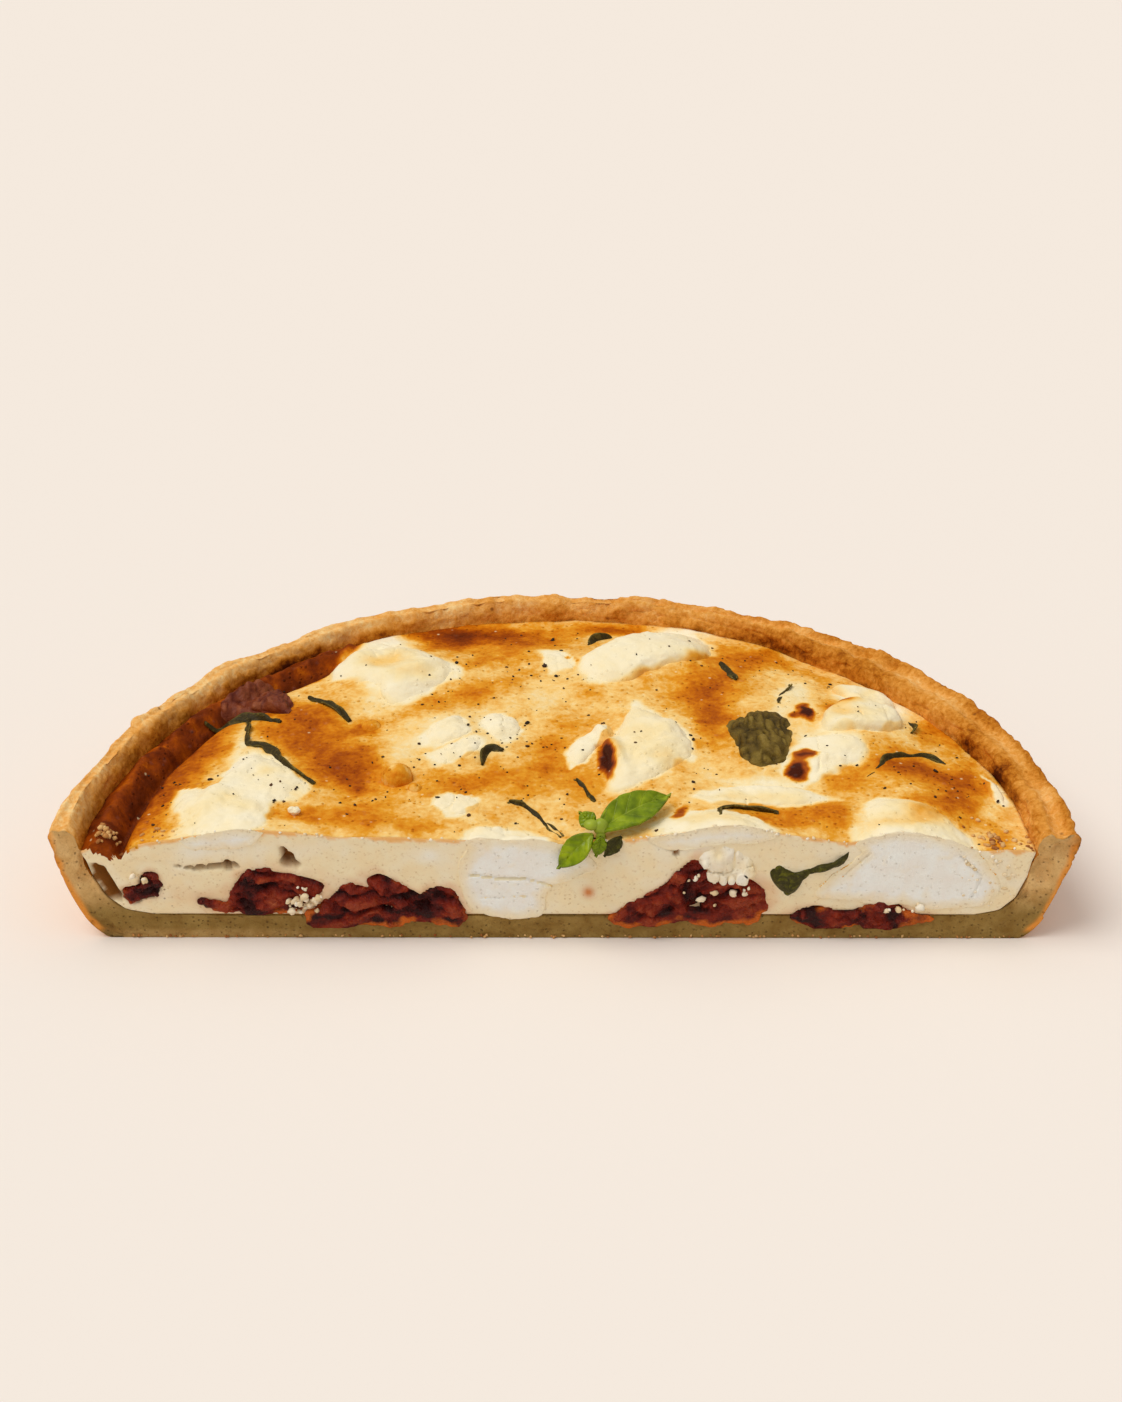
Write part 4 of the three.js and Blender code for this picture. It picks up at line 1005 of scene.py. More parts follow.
def stain_share(points):
    """Where tomato juice has reddened the custard round a tomato on the cut."""
    share = np.zeros(len(points))
    for outline in TOMATO_PRINTS:
        share = np.maximum(share, smooth((1.45 - outline.share(points[:, 0], points[:, 2])) / 0.5))
    share = clamp(share * (0.6 + 0.5 * rough(points, 3, 3, 55)), 0, 1)
    chip = bell(points[:, 0], TOMATO_CHIP[0], 1.3) * bell(points[:, 2], TOMATO_CHIP[1], 1.5)
    left = bell(points[:, 0], -87, 6) * bell(points[:, 2], 12, 3) * (0.5 + 0.5 * ripple(points, 3, 59))
    return clamp(share + 2.4 * chip + left, 0, 2.4)


# The pastry case
def case_surface():
    """Rows of the case's skin along its profile, from the right end round to the left end."""
    steps = (*OUTER_STEPS, *CREST_STEPS, *INNER_STEPS)
    profile = curve_through([*OUTER_WALL, *RIM, *INNER_WALL], steps, False)
    angle = np.linspace(0, math.pi, CASE_COLUMNS + 1)[None, :]
    radius, z = place_on_case(profile[:, :1], profile[:, 1:], angle)
    smooth_skin = stacked(radius * np.cos(angle), radius * np.sin(angle), z)
    return pastry_relief(smooth_skin, profile)


def pastry_relief(skin, profile):
    """Lumps, flakes and folds of hand-pressed, baked pastry on the visible part of the case."""
    along = np.gradient(skin, axis=1)
    down = np.gradient(skin, axis=0)
    normal = np.cross(along, down)
    normal /= np.maximum(np.linalg.norm(normal, axis=-1, keepdims=True), 1e-9)
    radius, z = profile[:, :1], profile[:, 1:]
    visible = smooth((radius - 106) / 6) * smooth((z - 0.2) / 2.5)
    inner = np.where((radius < RIM_MIDDLE) & (z < 27), smooth((z - 12) / 8), 1)
    angle = np.arctan2(skin[..., 1], skin[..., 0])
    round_rim = stacked(angle * RIM_MIDDLE, radius, z)
    pinches = 0.62 * rough(round_rim * (1, 0.6, 0.5), 5.0, 2, 61)
    lumps = 0.45 * rough(skin, 3.0, 3, 62)
    layers = -0.45 * (1 - smooth(crease(round_rim * (0.5, 1.2, 1.1), 3.6, 63) / 0.4))
    crest = bell(radius, 117.2, 1.3) * smooth((z - 27) / 2)
    rounded = smooth((50 - skin[..., 0]) / 80)
    furrow = -0.8 * crest * smooth(ripple(round_rim * (0.4, 0, 0), 6, 66) + 0.6)
    furrow = furrow * (1 - rounded)
    filled = 0.8 * rounded * bell(radius, 117.1, 1.1) * (z > 27)
    grain = 0.16 * rough(skin, 1.3, 2, 64)
    rope = 0.45 * rounded * ripple(round_rim * (1, 0.4, 0.3), 4, 58) * smooth((z - 22) / 5)
    relief = (pinches + lumps * (1 - 0.3 * rounded) + layers * (1 - 0.8 * rounded) + furrow + rope + grain)
    relief = relief * visible * inner
    moved = skin + normal * relief[..., None]
    moved[..., 2] += filled
    moved[:, 0, 1] = 0
    moved[:, -1, 1] = 0
    moved[0, :, :] = moved[0, :1, :]
    moved[-1, :, :] = moved[-1, :1, :]
    moved[..., 2] = np.maximum(moved[..., 2], 0)
    return moved


def case_section(skin):
    """The cut through the pastry, between the outer and the inner chain of the profile."""
    outer_count = sum(OUTER_STEPS)
    crest_count = sum(CREST_STEPS)
    right, left = skin[:, 0], skin[:, -1]
    outer = np.concatenate((right[outer_count::-1], left[1:outer_count + 1]))
    inner = np.concatenate((right[outer_count + crest_count:], left[-2:outer_count + crest_count - 1:-1]))
    share = np.linspace(0, 1, crest_count + 1)[:, None, None]
    section = mixed(share, outer[None], inner[None])
    section[:, 0] = right[outer_count:outer_count + crest_count + 1]
    section[:, -1] = left[outer_count:outer_count + crest_count + 1]
    inside = section[1:-1, 1:-1]
    crumble = 0.10 + 0.14 * rough(inside, 1.8, 3, 65)
    torn = 1.1 * smooth(ripple(inside, 4.2, 67) * 2 - 0.5) * smooth((np.abs(inside[..., 0]) - 104) / 5)
    inside[..., 1] = np.maximum(-0.1, crumble) + torn
    return section


# Places where the inner wall of the case is scorched: direction in degrees, height, reach of both
RIM_SCORCHES = [(24, 25.5, 2.4, 3.4, 0.50), (17, 25, 1.8, 4.0, 0.62), (12, 26, 3.0, 1.6, 0.30),
                (58, 26, 5.0, 1.4, 0.25), (118, 27, 7, 1.5, 0.3), (129, 25, 11, 4.5, 0.6),
                (176, 22, 3, 4, 0.2)]


def bake_of_case(points):
    """How brown the pastry is, 0 pale and 1 dark, with some painted light and shade by side."""
    x, y, z = points.T
    radius = np.hypot(x, y)
    angle = np.degrees(np.arctan2(y, x))
    # Paler to the left: partly the pastry's own tone, partly painted light on the left inner wall, which
    # faces away from the sun
    tone = 0.34 - 0.14 * smooth((10 - x) / 70) + 0.06 * rough(points, 15, 3, 68)
    # Browner on the right outer wall: partly baking, partly painted shade on that side
    tone = tone + 0.24 * smooth((x - 20) / 80) * smooth((radius - 117) / 3)
    tone = tone + 0.22 * smooth((radius - 112) / 6) * smooth((16 - z) / 14)
    inside = smooth((116.2 - radius) / 2.4) * smooth((z - 10) / 6)
    tone = tone + inside * (0.14 + 0.12 * smooth((angle - 30) / 20) + 0.16 * smooth((angle - 115) / 20))
    for direction, height, reach, reach_z, amount in RIM_SCORCHES:
        tone = tone + amount * bell(angle, direction, reach) * bell(z, height, reach_z) * inside
    return tone


def section_masks(mesh, points):
    """How far up the wall the cut pastry is, and how near its baked outer skin."""
    x, _, z = points.T
    places = sorted((height, radius) for radius, height in [*OUTER_WALL[2:], *RIM[:2]])
    bulge = np.where(x < 0, rim_bulge(math.pi), rim_bulge(0.0)) * z / RIM_HEIGHT
    outer = np.interp(z, [p[0] for p in places], [p[1] for p in places]) + bulge
    gap = outer - np.abs(x)
    torn = 0.5 * ripple(points, 2.4, 69)
    set_mask(mesh, "skin", smooth((2.0 + torn - gap) / 1.4) * smooth((z - 1) / 2))
    low = 0.35 * smooth((3.2 - z) / 2) * smooth((-40 - x) / 40)
    set_mask(mesh, "high", smooth((z - 5.5) / 11 + 0.12 * rough(points, 5, 2, 60)) + low)


def make_case(materials):
    skin = case_surface()
    raw_from = sum(OUTER_STEPS) + sum(CREST_STEPS) + sum(INNER_STEPS[:2])
    bm = bmesh.new()
    add_grid(bm, skin[:raw_from + 1], 0)
    add_grid(bm, skin[raw_from:], 1)
    add_grid(bm, case_section(skin), 1)
    mesh = closed_mesh(bm, "pastry_case")
    points = coordinates(mesh)
    set_mask(mesh, "bake", bake_of_case(points))
    section_masks(mesh, points)
    add_piece("pastry_case", mesh, materials, "pastry", "crust")


# Dried tomatoes
def make_cut_tomato(node, lobes, materials, paler):
    name = node + "_flesh"
    bm = bmesh.new()
    for lobe in lobes:
        add_ball(bm, 64, 32, cut_lump(lobe))
    mesh = fused_mesh(closed_mesh(bm, name), name, TOMATO_FINENESS)
    points = coordinates(mesh)
    at_front = smooth((4 - points[:, 1]) / 3)
    ragged = 0.9 * rough(points, 3.0, 3, 70) + 0.6 * crease(points, 2.2, 77) - 0.3
    facing = normals(mesh)
    points = relief_on(points, facing, ragged * at_front)
    near = edge_nearness(points, 1.8)
    bent = points + 1.4 * rough(points, 5, 2, 76)[:, None]
    layers = crease(bent * (0.7, 1, 1.2), 4.4, 71) - 0.45
    chunks = rough(bent * (0.8, 1, 1.2), 2.6, 3, 72)
    front = smooth((2.4 - points[:, 1]) / 2.6)
    points[:, 1] -= (1.9 * layers + 1.1 * chunks - 0.4) * front * (1 - 0.75 * near)
    points[:, 1] = np.maximum(points[:, 1], -TOMATO_OUT)
    over_pastry = (points[:, 2] < FACE_BOTTOM + 1.2) & (facing[:, 1] < 0) & (points[:, 1] < 3)
    before_pastry = np.minimum(points[:, 1], -0.25 - 0.2 * np.abs(chunks))
    points[:, 1] = np.where(over_pastry, before_pastry, points[:, 1])
    set_coordinates(mesh, sit_on_case(points))
    low = smooth((11 - points[:, 2]) / 5) + 0.3
    set_mask(mesh, "thin", clamp(near * low * (0.5 + 1.1 * ripple(points, 3.4, 74)), 0, 1) * front)
    # Ridge mask: paler on the ridges and darker in the crevices, painted light and shade that follow the
    # relief; paler is each tomato's own lighter tone
    set_mask(mesh, "ridge", clamp(0.42 + paler + 1.0 * layers + 0.45 * chunks, 0, 1))
    add_piece(name, mesh, materials, "tomato", node)


def make_lump(node, form, materials, slot, seed, height, size, sharp):
    """A crumpled lump on the top, such as the wrinkled tomato skin and the heap of baked basil."""
    name = node + "_heap"
    bm = bmesh.new()
    add_ball(bm, 160, 96, top_lump(form))
    mesh = closed_mesh(bm, name)
    points = coordinates(mesh)
    bent = points * (1.25, 0.75, 1) + 1.5 * ripple(points, 6, seed + 5)[:, None]
    broad = sharp * (crease(bent * (1, 0.5, 1), size, seed) - 0.5) + rough(points, size, 2, seed + 1)
    fine = crease(bent * (1, 0.6, 1), size * 0.3, seed + 3) - 0.5
    lifted = smooth((points[:, 2] - 24) / 3)
    finest = rough(points, 1.4, 2, seed + 7)
    points = relief_on(points, normals(mesh), height * (broad + 0.6 * fine + 0.2 * finest) * lifted)
    set_coordinates(mesh, points)
    # Ridge mask: paler on the ridges and darker in the folds, as painted light and shade
    set_mask(mesh, "ridge", clamp(0.45 + 0.35 * broad + 0.8 * fine + 0.15 * finest, 0, 1))
    add_piece(name, mesh, materials, slot, node)


# Basil
def leaf_grid(leaf, rows=40, columns=20):
    """Upper side of a leaf from base to tip: folded at the midrib, puffed between its veins."""
    base, tip = Vector(leaf["base"]), Vector(leaf["tip"])
    run = tip - base
    sideways = Vector(leaf["facing"]).cross(run).normalized()
    upward = run.cross(sideways).normalized()
    t = np.linspace(0, 1, rows + 1)[:, None]
    v = np.linspace(-1, 1, columns + 1)[None, :]
    half = np.maximum(0.3, leaf["width"] / 2 * np.sin(math.pi * t**0.85) ** 0.8)
    bend = leaf["arch"] * np.sin(math.pi * t) + 0.25 * half * np.abs(v) ** 1.5
    wave = 0.4 * v * v * np.sin(9 * t)
    vein = np.abs(np.sin(math.pi * (5.5 * t - 1.2 * np.abs(v))))
    puff = 0.05 * leaf["width"] * (vein**0.7 - 0.6) * smooth(np.abs(v) * 5) * np.sin(math.pi * t)
    rib = -0.02 * leaf["width"] * bell(v, 0, 0.1)
    lift = bend + wave + puff + rib
    line = np.array(base) + t[..., None] * np.array(run)
    points = line + (half * v)[..., None] * np.array(sideways) + lift[..., None] * np.array(upward)
    return points, np.broadcast_to(t, lift.shape), np.broadcast_to(v, lift.shape)


def add_leaf(bm, points, along, across, thickness):
    """A thin closed leaf between its upper side and its lower side."""
    along_layer = bm.verts.layers.float["along"]
    across_layer = bm.verts.layers.float["across"]
    verts = add_grid(bm, points)
    for vert, t, v in zip(verts, along.ravel(), across.ravel()):
        vert[along_layer] = t
        vert[across_layer] = v
    faces = list({face for vert in verts for face in vert.link_faces})
    bmesh.ops.recalc_face_normals(bm, faces=faces)
    bmesh.ops.solidify(bm, geom=faces, thickness=thickness)


def make_sprig(materials):
    bm = shape_with("along", "across")
    for leaf in SPRIG_LEAVES:
        add_leaf(bm, *leaf_grid(leaf), LEAF_THICKNESS)
    for (x, y, z), sizes in BUDS:
        made = bmesh.ops.create_uvsphere(bm, u_segments=24, v_segments=16, radius=1)
        for vert in made["verts"]:
            vert.co = [c * size + middle for c, size, middle in zip(vert.co, sizes, (x, y, z))]
    mesh = closed_mesh(bm, "basil_sprig_leaves", LEAF_SEAM)
    add_piece("basil_sprig_leaves", mesh, materials, "fresh_basil", "basil_sprig")


def make_under_leaf(materials):
    bm = shape_with("along", "across")
    add_leaf(bm, *leaf_grid(UNDER_LEAF, 24, 12), LEAF_THICKNESS)
    mesh = closed_mesh(bm, "basil_leaf_under_sprig", LEAF_SEAM)
    add_piece("basil_leaf_under_sprig", mesh, materials, "baked_basil", "basil_under_sprig")


def strip_grid(strip, rows=72, columns=10):
    """A strip of baked basil whose middle line lies in the baked top and whose edges curl."""
    count = len(strip["line"]) - 1
    line = curve_through(strip["line"], [rows // count + (k < rows % count) for k in range(count)], False)
    run = np.gradient(line, axis=0)
    run /= np.linalg.norm(run, axis=1, keepdims=True)
    t = np.linspace(0, 1, len(line))[:, None]
    v = np.linspace(-1, 1, columns + 1)[None, :]
    seed = abs(strip["line"][0][0])
    length = np.linalg.norm(np.diff(line, axis=0), axis=1).sum()
    beat = length / 5.5
    half = strip["width"] * 0.46 * (0.12 + 0.88 * np.sin(math.pi * t) ** 0.6)
    half = half * (1 + 0.25 * np.sin(1.7 * beat * t + seed) + 0.14 * np.sin(5.3 * beat * t))
    tilt = strip.get("tilt", 0.55) + 0.5 * np.sin(1.3 * beat * t + seed)
    side = half * v * np.cos(tilt) + 0.35 * np.sin(1.9 * beat * t + seed)
    x = line[:, :1] - run[:, 1:] * side
    y = line[:, 1:] + run[:, :1] * side
    curl = 0.4 * np.abs(v) ** 2 * np.sin(2.3 * beat * t + seed) + 0.12 * np.sin(7 * beat * t + 3 * v)
    z = filling_height(line[:, :1], line[:, 1:]) + 0.1 + half * v * np.sin(tilt) + curl
    return stacked(x, y, z), np.broadcast_to(t, z.shape), np.broadcast_to(v, z.shape)


def make_strips(node, strips, materials):
    name = node + "_strips"
    bm = shape_with("along", "across")
    for strip in strips:
        add_leaf(bm, *strip_grid(strip), LEAF_THICKNESS * 0.8)
    mesh = closed_mesh(bm, name, LEAF_SEAM)
    add_piece(name, mesh, materials, "baked_basil", node)


def make_cut_basil(materials):
    bm = bmesh.new()
    for form in CUT_BASIL:
        add_ball(bm, 64, 32, cut_lump(form))
    mesh = closed_mesh(bm, "basil_cut_leaves")
    points = coordinates(mesh)
    folds = 0.5 * crease(points * (1, 1, 0.6), 2.4, 81) - 0.3
    points = relief_on(points, normals(mesh), folds)
    set_coordinates(mesh, points)
    add_piece("basil_cut_leaves", mesh, materials, "baked_basil", "basil_cut")


# The lump on the cluster, with the spikes that hang from its lower edge
CLUSTER_SPIKES = [(35.0, 18.6, 2.2, 1.7), (37.6, 17.6, 1.9, 2.1), (39.6, 17.2, 1.6, 1.2),
                  (41.8, 17.4, 2.2, 1.9), (43.6, 19.6, 1.8, 1.3), (33.2, 21.6, 1.8, 1.4)]


def make_cheese_on_cluster(materials):
    bm = bmesh.new()
    add_ball(bm, 64, 32, cut_lump(CHEESE_ON_CLUSTER))
    rng = random.Random(5)
    for x, z, size, height in CLUSTER_SPIKES:
        add_crumb(bm, (x, -0.6, z), size, rng, height)
    name = "cheese_lump_on_cluster"
    mesh = fused_mesh(closed_mesh(bm, name), name, CLUSTER_FINENESS)
    points = coordinates(mesh)
    hollows = 1 - smooth(crease(points, 4.2, 92) / 0.4)
    ragged = 0.9 * rough(points * (1, 1, 0.7), 3.6, 4, 91) - 1.1 * hollows
    points = relief_on(points, normals(mesh), ragged + 0.2)
    points[:, 1] = np.maximum(points[:, 1], -CLUSTER_OUT)
    set_coordinates(mesh, points)
    set_browning(mesh, points, True)
    set_mask(mesh, "fringe", clamp(0.72 + 0.5 * ripple(points, 3, 93), 0, 1))
    mesh.polygons.foreach_set("material_index", np.ones(len(mesh.polygons), np.int32))
    add_piece(name, mesh, materials, "cheese", "cheese_on_cluster")


def add_crumb(bm, place, size, rng, flat, tone=None, fineness=1):
    """A small angular crumb; tone is kept as a value of its corners."""
    made = bmesh.ops.create_icosphere(bm, subdivisions=fineness, radius=size / 2)
    turn = Matrix.Rotation(rng.uniform(0, 2 * math.pi), 3, "Z")
    turn = turn @ Matrix.Rotation(rng.uniform(0, 0.5), 3, "X")
    stretch = rng.uniform(0.75, 1.35)
    for vert in made["verts"]:
        co = vert.co * rng.uniform(0.75, 1.2)
        vert.co = turn @ Vector((co.x * stretch, co.y / stretch, co.z * flat)) + Vector(place)
        if tone is not None:
            vert[bm.verts.layers.float["tone"]] = tone


# Pepper on the top: single flakes and places where it lies thick (x, y, reach, number)
PEPPER_HEAPS = [
    (-84, 24, 16, 24), (-66, 16, 8, 10), (-30, 40, 16, 26), (-12, 46, 9, 16), (-28, 74, 14, 16),
    (-4, 78, 10, 20), (24, 46, 14, 20), (28, 92, 16, 12), (58, 90, 16, 16), (84, 66, 12, 12),
    (74, 34, 14, 16), (98, 26, 10, 18), (-78, 74, 16, 10), (-50, 14, 10, 8), (4, 12, 14, 12),
    (0, 104, 16, 8),
]

SINGLE_FLAKES = 90
PEPPER_WITHIN = 109


def make_pepper(materials):
    bm = shape_with("tone")
    rng = random.Random(11)
    flakes = list(LARGE_FLAKES)
    for x, y, reach, count in PEPPER_HEAPS:
        for _ in range(count):
            flakes.append((rng.gauss(x, reach * 0.6), rng.gauss(y, reach * 0.6), rng.uniform(0.3, 0.85)))
    for _ in range(SINGLE_FLAKES):
        turn, out = rng.uniform(0.02, math.pi - 0.02), 108 * math.sqrt(rng.random())
        flakes.append((out * math.cos(turn), out * math.sin(turn), rng.uniform(0.3, 0.7)))
    for x, y, size in flakes:
        if y < 1 or math.hypot(x, y) > PEPPER_WITHIN:
            continue
        z = float(surface_height(x, y)) + 0.12 * size
        add_crumb(bm, (x, y, z), size, rng, 0.55, rng.random())
    mesh = closed_mesh(bm, "pepper_flakes", CRUMB_SEAM)
    add_piece("pepper_flakes", mesh, materials, None, "custard")


def surface_height(x, y):
    """Height of what lies on top at a place: the baked custard or a piece of cheese in it."""
    x, y = np.asarray(x, float), np.asarray(y, float)
    height = baked_height(x, y)
    for name, outline in cheese_prints.items():
        form = TOP_CHEESE.get(name) or CUT_CHEESE[name][1]
        share = outline.share(x, y)
        lump = filling_height(x, y) - SEAT + form["rise"] * (1 - np.minimum(1, share) ** 4)
        height = np.where(share < 1, np.maximum(height, lump), height)
    return height


# Crumbs of pastry that the knife left at both ends: place, spread and number
PASTRY_CRUMBS = [(-108.5, 3.5, 3.2, 26), (103, 3, 6.5, 30), (111, 2, 2.4, 10), (-96, 3, 4, 8)]
CRUMBS_WITHIN = 110.5

# Number of crumbs along the cut's top edge, at its right end and on the floor before it
EDGE_CRUMBS = 70
END_CRUMBS = 60
FLOOR_CRUMBS = 110

# Curds between the tomatoes on the cut: from x to x, from z to z, number
CURDS = [(-66, -58, 7.5, 13, 30), (-63.5, -60, 11, 16, 8), (28, 34, 14, 19, 4), (31, 36, 9, 14, 4),
         (38, 44, 12, 17, 6), (-103, -99, 17, 18.5, 4), (76, 90, 8.6, 10.4, 10)]


def make_cut_crumbs(materials):
    """Crumbs that the knife pulled out along the cut's top edge and at its right end."""
    bm = shape_with("tone")
    rng = random.Random(31)
    for _ in range(EDGE_CRUMBS):
        x = rng.uniform(-98, 108)
        z = float(surface_height(x, 0.0)) + rng.uniform(-0.5, 0.1)
        add_crumb(bm, (x, rng.uniform(-0.1, 0.5), z), rng.uniform(0.4, 1.2), rng, 0.8, rng.random())
    for _ in range(END_CRUMBS):
        x, z = rng.uniform(94, 109), rng.uniform(9, 24)
        if x < 110 - (24 - z) * 0.35:
            add_crumb(bm, (x, 0.1, z), rng.uniform(0.5, 1.5), rng, 0.8, rng.random())
    for x0, x1, z0, z1, count in CURDS:
        for _ in range(count):
            place = (rng.uniform(x0, x1), rng.uniform(-1.3, -0.4), rng.uniform(z0, z1))
            add_crumb(bm, place, 0.6 + 1.5 * rng.random() ** 2, rng, 0.9, rng.random(), 2)
    mesh = closed_mesh(bm, "cut_crumbs", CRUMB_SEAM)
    add_piece("cut_crumbs", mesh, materials, "cheese", "custard")


def make_pastry_crumbs(materials):
    bm = shape_with("tone")
    rng = random.Random(23)
    for x, y, reach, count in PASTRY_CRUMBS:
        for _ in range(count):
            place_x, place_y = rng.gauss(x, reach * 0.5), abs(rng.gauss(y, reach * 0.5)) + 0.4
            if math.hypot(place_x, place_y) > CRUMBS_WITHIN:
                continue
            z = float(surface_height(place_x, place_y)) + 0.1
            add_crumb(bm, (place_x, place_y, z), rng.uniform(0.6, 1.8), rng, 0.7, rng.random())
    for _ in range(FLOOR_CRUMBS):
        x, size = rng.uniform(-107, 107), rng.uniform(0.35, 0.9)
        add_crumb(bm, (x, rng.uniform(-0.25, 0.05), rng.uniform(0.3, 0.8)), size, rng, 0.8, rng.random())
    mesh = closed_mesh(bm, "pastry_crumbs", CRUMB_SEAM)
    points = coordinates(mesh)
    set_coordinates(mesh, np.column_stack((points[:, :2], np.maximum(points[:, 2], 0))))
    add_piece("pastry_crumbs", mesh, materials, "pastry", "custard", "crust")


def make_bubbles(materials):
    """Bubbles blown in the baked top, and one white crumb of salt."""
    bm = bmesh.new()
    for x, y, size, lift in [*BUBBLES, WHITE_CRUMB]:
        made = bmesh.ops.create_uvsphere(bm, u_segments=40, v_segments=24, radius=size)
        middle = Vector((x, y, float(filling_height(np.array(x), np.array(y))) + lift))
        for vert in made["verts"]:
            vert.co = vert.co + middle
    mesh = closed_mesh(bm, "baked_bubbles", LEAF_SEAM)
    points = coordinates(mesh)
    x, y, size, _ = WHITE_CRUMB
    white = np.hypot(points[:, 0] - x, points[:, 1] - y) < size * 1.2
    uneven = np.where(white, 0.75 * rough(points, 1.9, 3, 94), 0.12 * rough(points, 2.2, 3, 95))
    set_coordinates(mesh, relief_on(points, normals(mesh), uneven))
    # Paler towards the top of each dome: painted highlight
    amber = 0.60 + 0.12 * ripple(points, 2, 96) - 0.10 * smooth((points[:, 2] - 31) / 2)
    set_mask(mesh, "browning", np.where(white, 0.04, amber))
    add_piece("baked_bubbles", mesh, materials, "custard", "custard")


# Share of the light that reaches the top and the cut; tones are the colours that then show, in
# red, green and blue from 0 to 255
LIGHT_ON_TOP = 1.0
LIGHT_ON_CUT = 0.72

# Tones of the baked top by how brown it is
BAKED_TONES = [
    (0.0, (252, 240, 208)), (0.15, (250, 228, 175)), (0.35, (250, 205, 122)),
    (0.55, (232, 158, 42)), (0.70, (216, 126, 16)), (0.85, (188, 96, 6)), (1.0, (155, 68, 6)),
    (1.2, (120, 48, 10)), (1.5, (70, 25, 8)),
]
BROWNEST = 1.5


def tint(tone, light=LIGHT_ON_TOP):
    """Surface colour that shows as the given tone in the given share of the light."""
    linear = [(c / 255 / 12.92) if c <= 10 else ((c / 255 + 0.055) / 1.055) ** 2.4 for c in tone]
    return (*(min(0.98, c / light) for c in linear), 1)


def cut_tint(tone):
    return tint(tone, LIGHT_ON_CUT)


def new_material(name):
    material = bpy.data.materials.new(name)
    material.use_nodes = True
    tree = material.node_tree
    return material, tree, tree.nodes["Principled BSDF"]


def feed(tree, socket, value):
    """Gives an input a fixed value, or links another node's output to it."""
    if isinstance(value, bpy.types.NodeSocket):
        tree.links.new(value, socket)
    else:
        socket.default_value = value


def add_node(tree, kind, values=None, **settings):
    made = tree.nodes.new(kind)
    for name, value in settings.items():
        setattr(made, name, value)
    for name, value in (values or {}).items():
        feed(tree, made.inputs[name], value)
    return made


def add_maths(tree, operation, first, second=None, third=None, limited=False):
    made = add_node(tree, "ShaderNodeMath", operation=operation, use_clamp=limited)
    for place, value in enumerate((first, second, third)):
        if value is not None:
            feed(tree, made.inputs[place], value)
    return made.outputs[0]


def add_mix(tree, share, first, second):
    """Mix of two colours, each a socket or a fixed colour."""
    made = add_node(tree, "ShaderNodeMix", data_type="RGBA")
    for place, value in ((0, share), (6, first), (7, second)):
        feed(tree, made.inputs[place], value)
    return made.outputs[2]


def add_ramp(tree, share, stops, light=LIGHT_ON_TOP):
    """Colour for a share from 0 to 1; each stop is a place and the tone that shows there."""
    made = tree.nodes.new("ShaderNodeValToRGB")
    ramp = made.color_ramp
    while len(ramp.elements) < len(stops):
        ramp.elements.new(1.0)
    for element, (place, tone) in zip(ramp.elements, stops):
        element.position = place
        element.color = tint(tone, light)
    tree.links.new(share, made.inputs[0])
    return made.outputs[0]


def add_mask(tree, name):
    return add_node(tree, "ShaderNodeAttribute", attribute_name=name).outputs["Fac"]


def add_noise(tree, size, detail=3, roughness=0.55, distortion=0.0):
    """Soft noise from 0 to 1 with spots of the given size in millimetres."""
    where = add_node(tree, "ShaderNodeTexCoord").outputs["Object"]
    values = {"Vector": where, "Scale": 1 / (size * MILLIMETRE), "Detail": detail,
              "Roughness": roughness, "Distortion": distortion}
    return add_node(tree, "ShaderNodeTexNoise", values).outputs[0]


def add_spots(tree, spacing, size, scarcity):
    """Small round spots in some of the cells of the given size in millimetres."""
    where = add_node(tree, "ShaderNodeTexCoord").outputs["Object"]
    cells = add_node(tree, "ShaderNodeTexVoronoi", {"Vector": where, "Scale": 1 / (spacing * MILLIMETRE)})
    chance = add_node(tree, "ShaderNodeSeparateColor", {"Color": cells.outputs["Color"]}).outputs["Red"]
    inside = add_maths(tree, "MULTIPLY_ADD", cells.outputs["Distance"], -1 / size, 1.6, limited=True)
    chosen = add_maths(tree, "GREATER_THAN", chance, scarcity)
    return add_maths(tree, "MULTIPLY", inside, chosen)


def add_bump(tree, shader, height, strength, distance):
    values = {"Height": height, "Strength": strength, "Distance": distance * MILLIMETRE}
    bump = add_node(tree, "ShaderNodeBump", values)
    tree.links.new(bump.outputs[0], shader.inputs["Normal"])


def new_group(name, inputs, outputs):
    group = bpy.data.node_groups.new(name, "ShaderNodeTree")
    for label, kind, value in inputs:
        socket = group.interface.new_socket(label, in_out="INPUT", socket_type=kind)
        if value is not None:
            socket.default_value = value
    for label, kind in outputs:
        group.interface.new_socket(label, in_out="OUTPUT", socket_type=kind)
    return group, group.nodes.new("NodeGroupInput").outputs, group.nodes.new("NodeGroupOutput").inputs


def place_group(tree, group, **values):
    placed = tree.nodes.new("ShaderNodeGroup")
    placed.node_tree = group
    for name, value in values.items():
        feed(tree, placed.inputs[name.capitalize()], value)
    return placed.outputs


def finish(tree, shader, colour, roughness, specular):
    """The colour and the gloss of a finish, each a fixed value or another node's output."""
    values = {"Base Color": colour, "Roughness": roughness, "Specular IOR Level": specular}
    for name, value in values.items():
        feed(tree, shader.inputs[name], value)


FLOAT, COLOUR = "NodeSocketFloat", "NodeSocketColor"


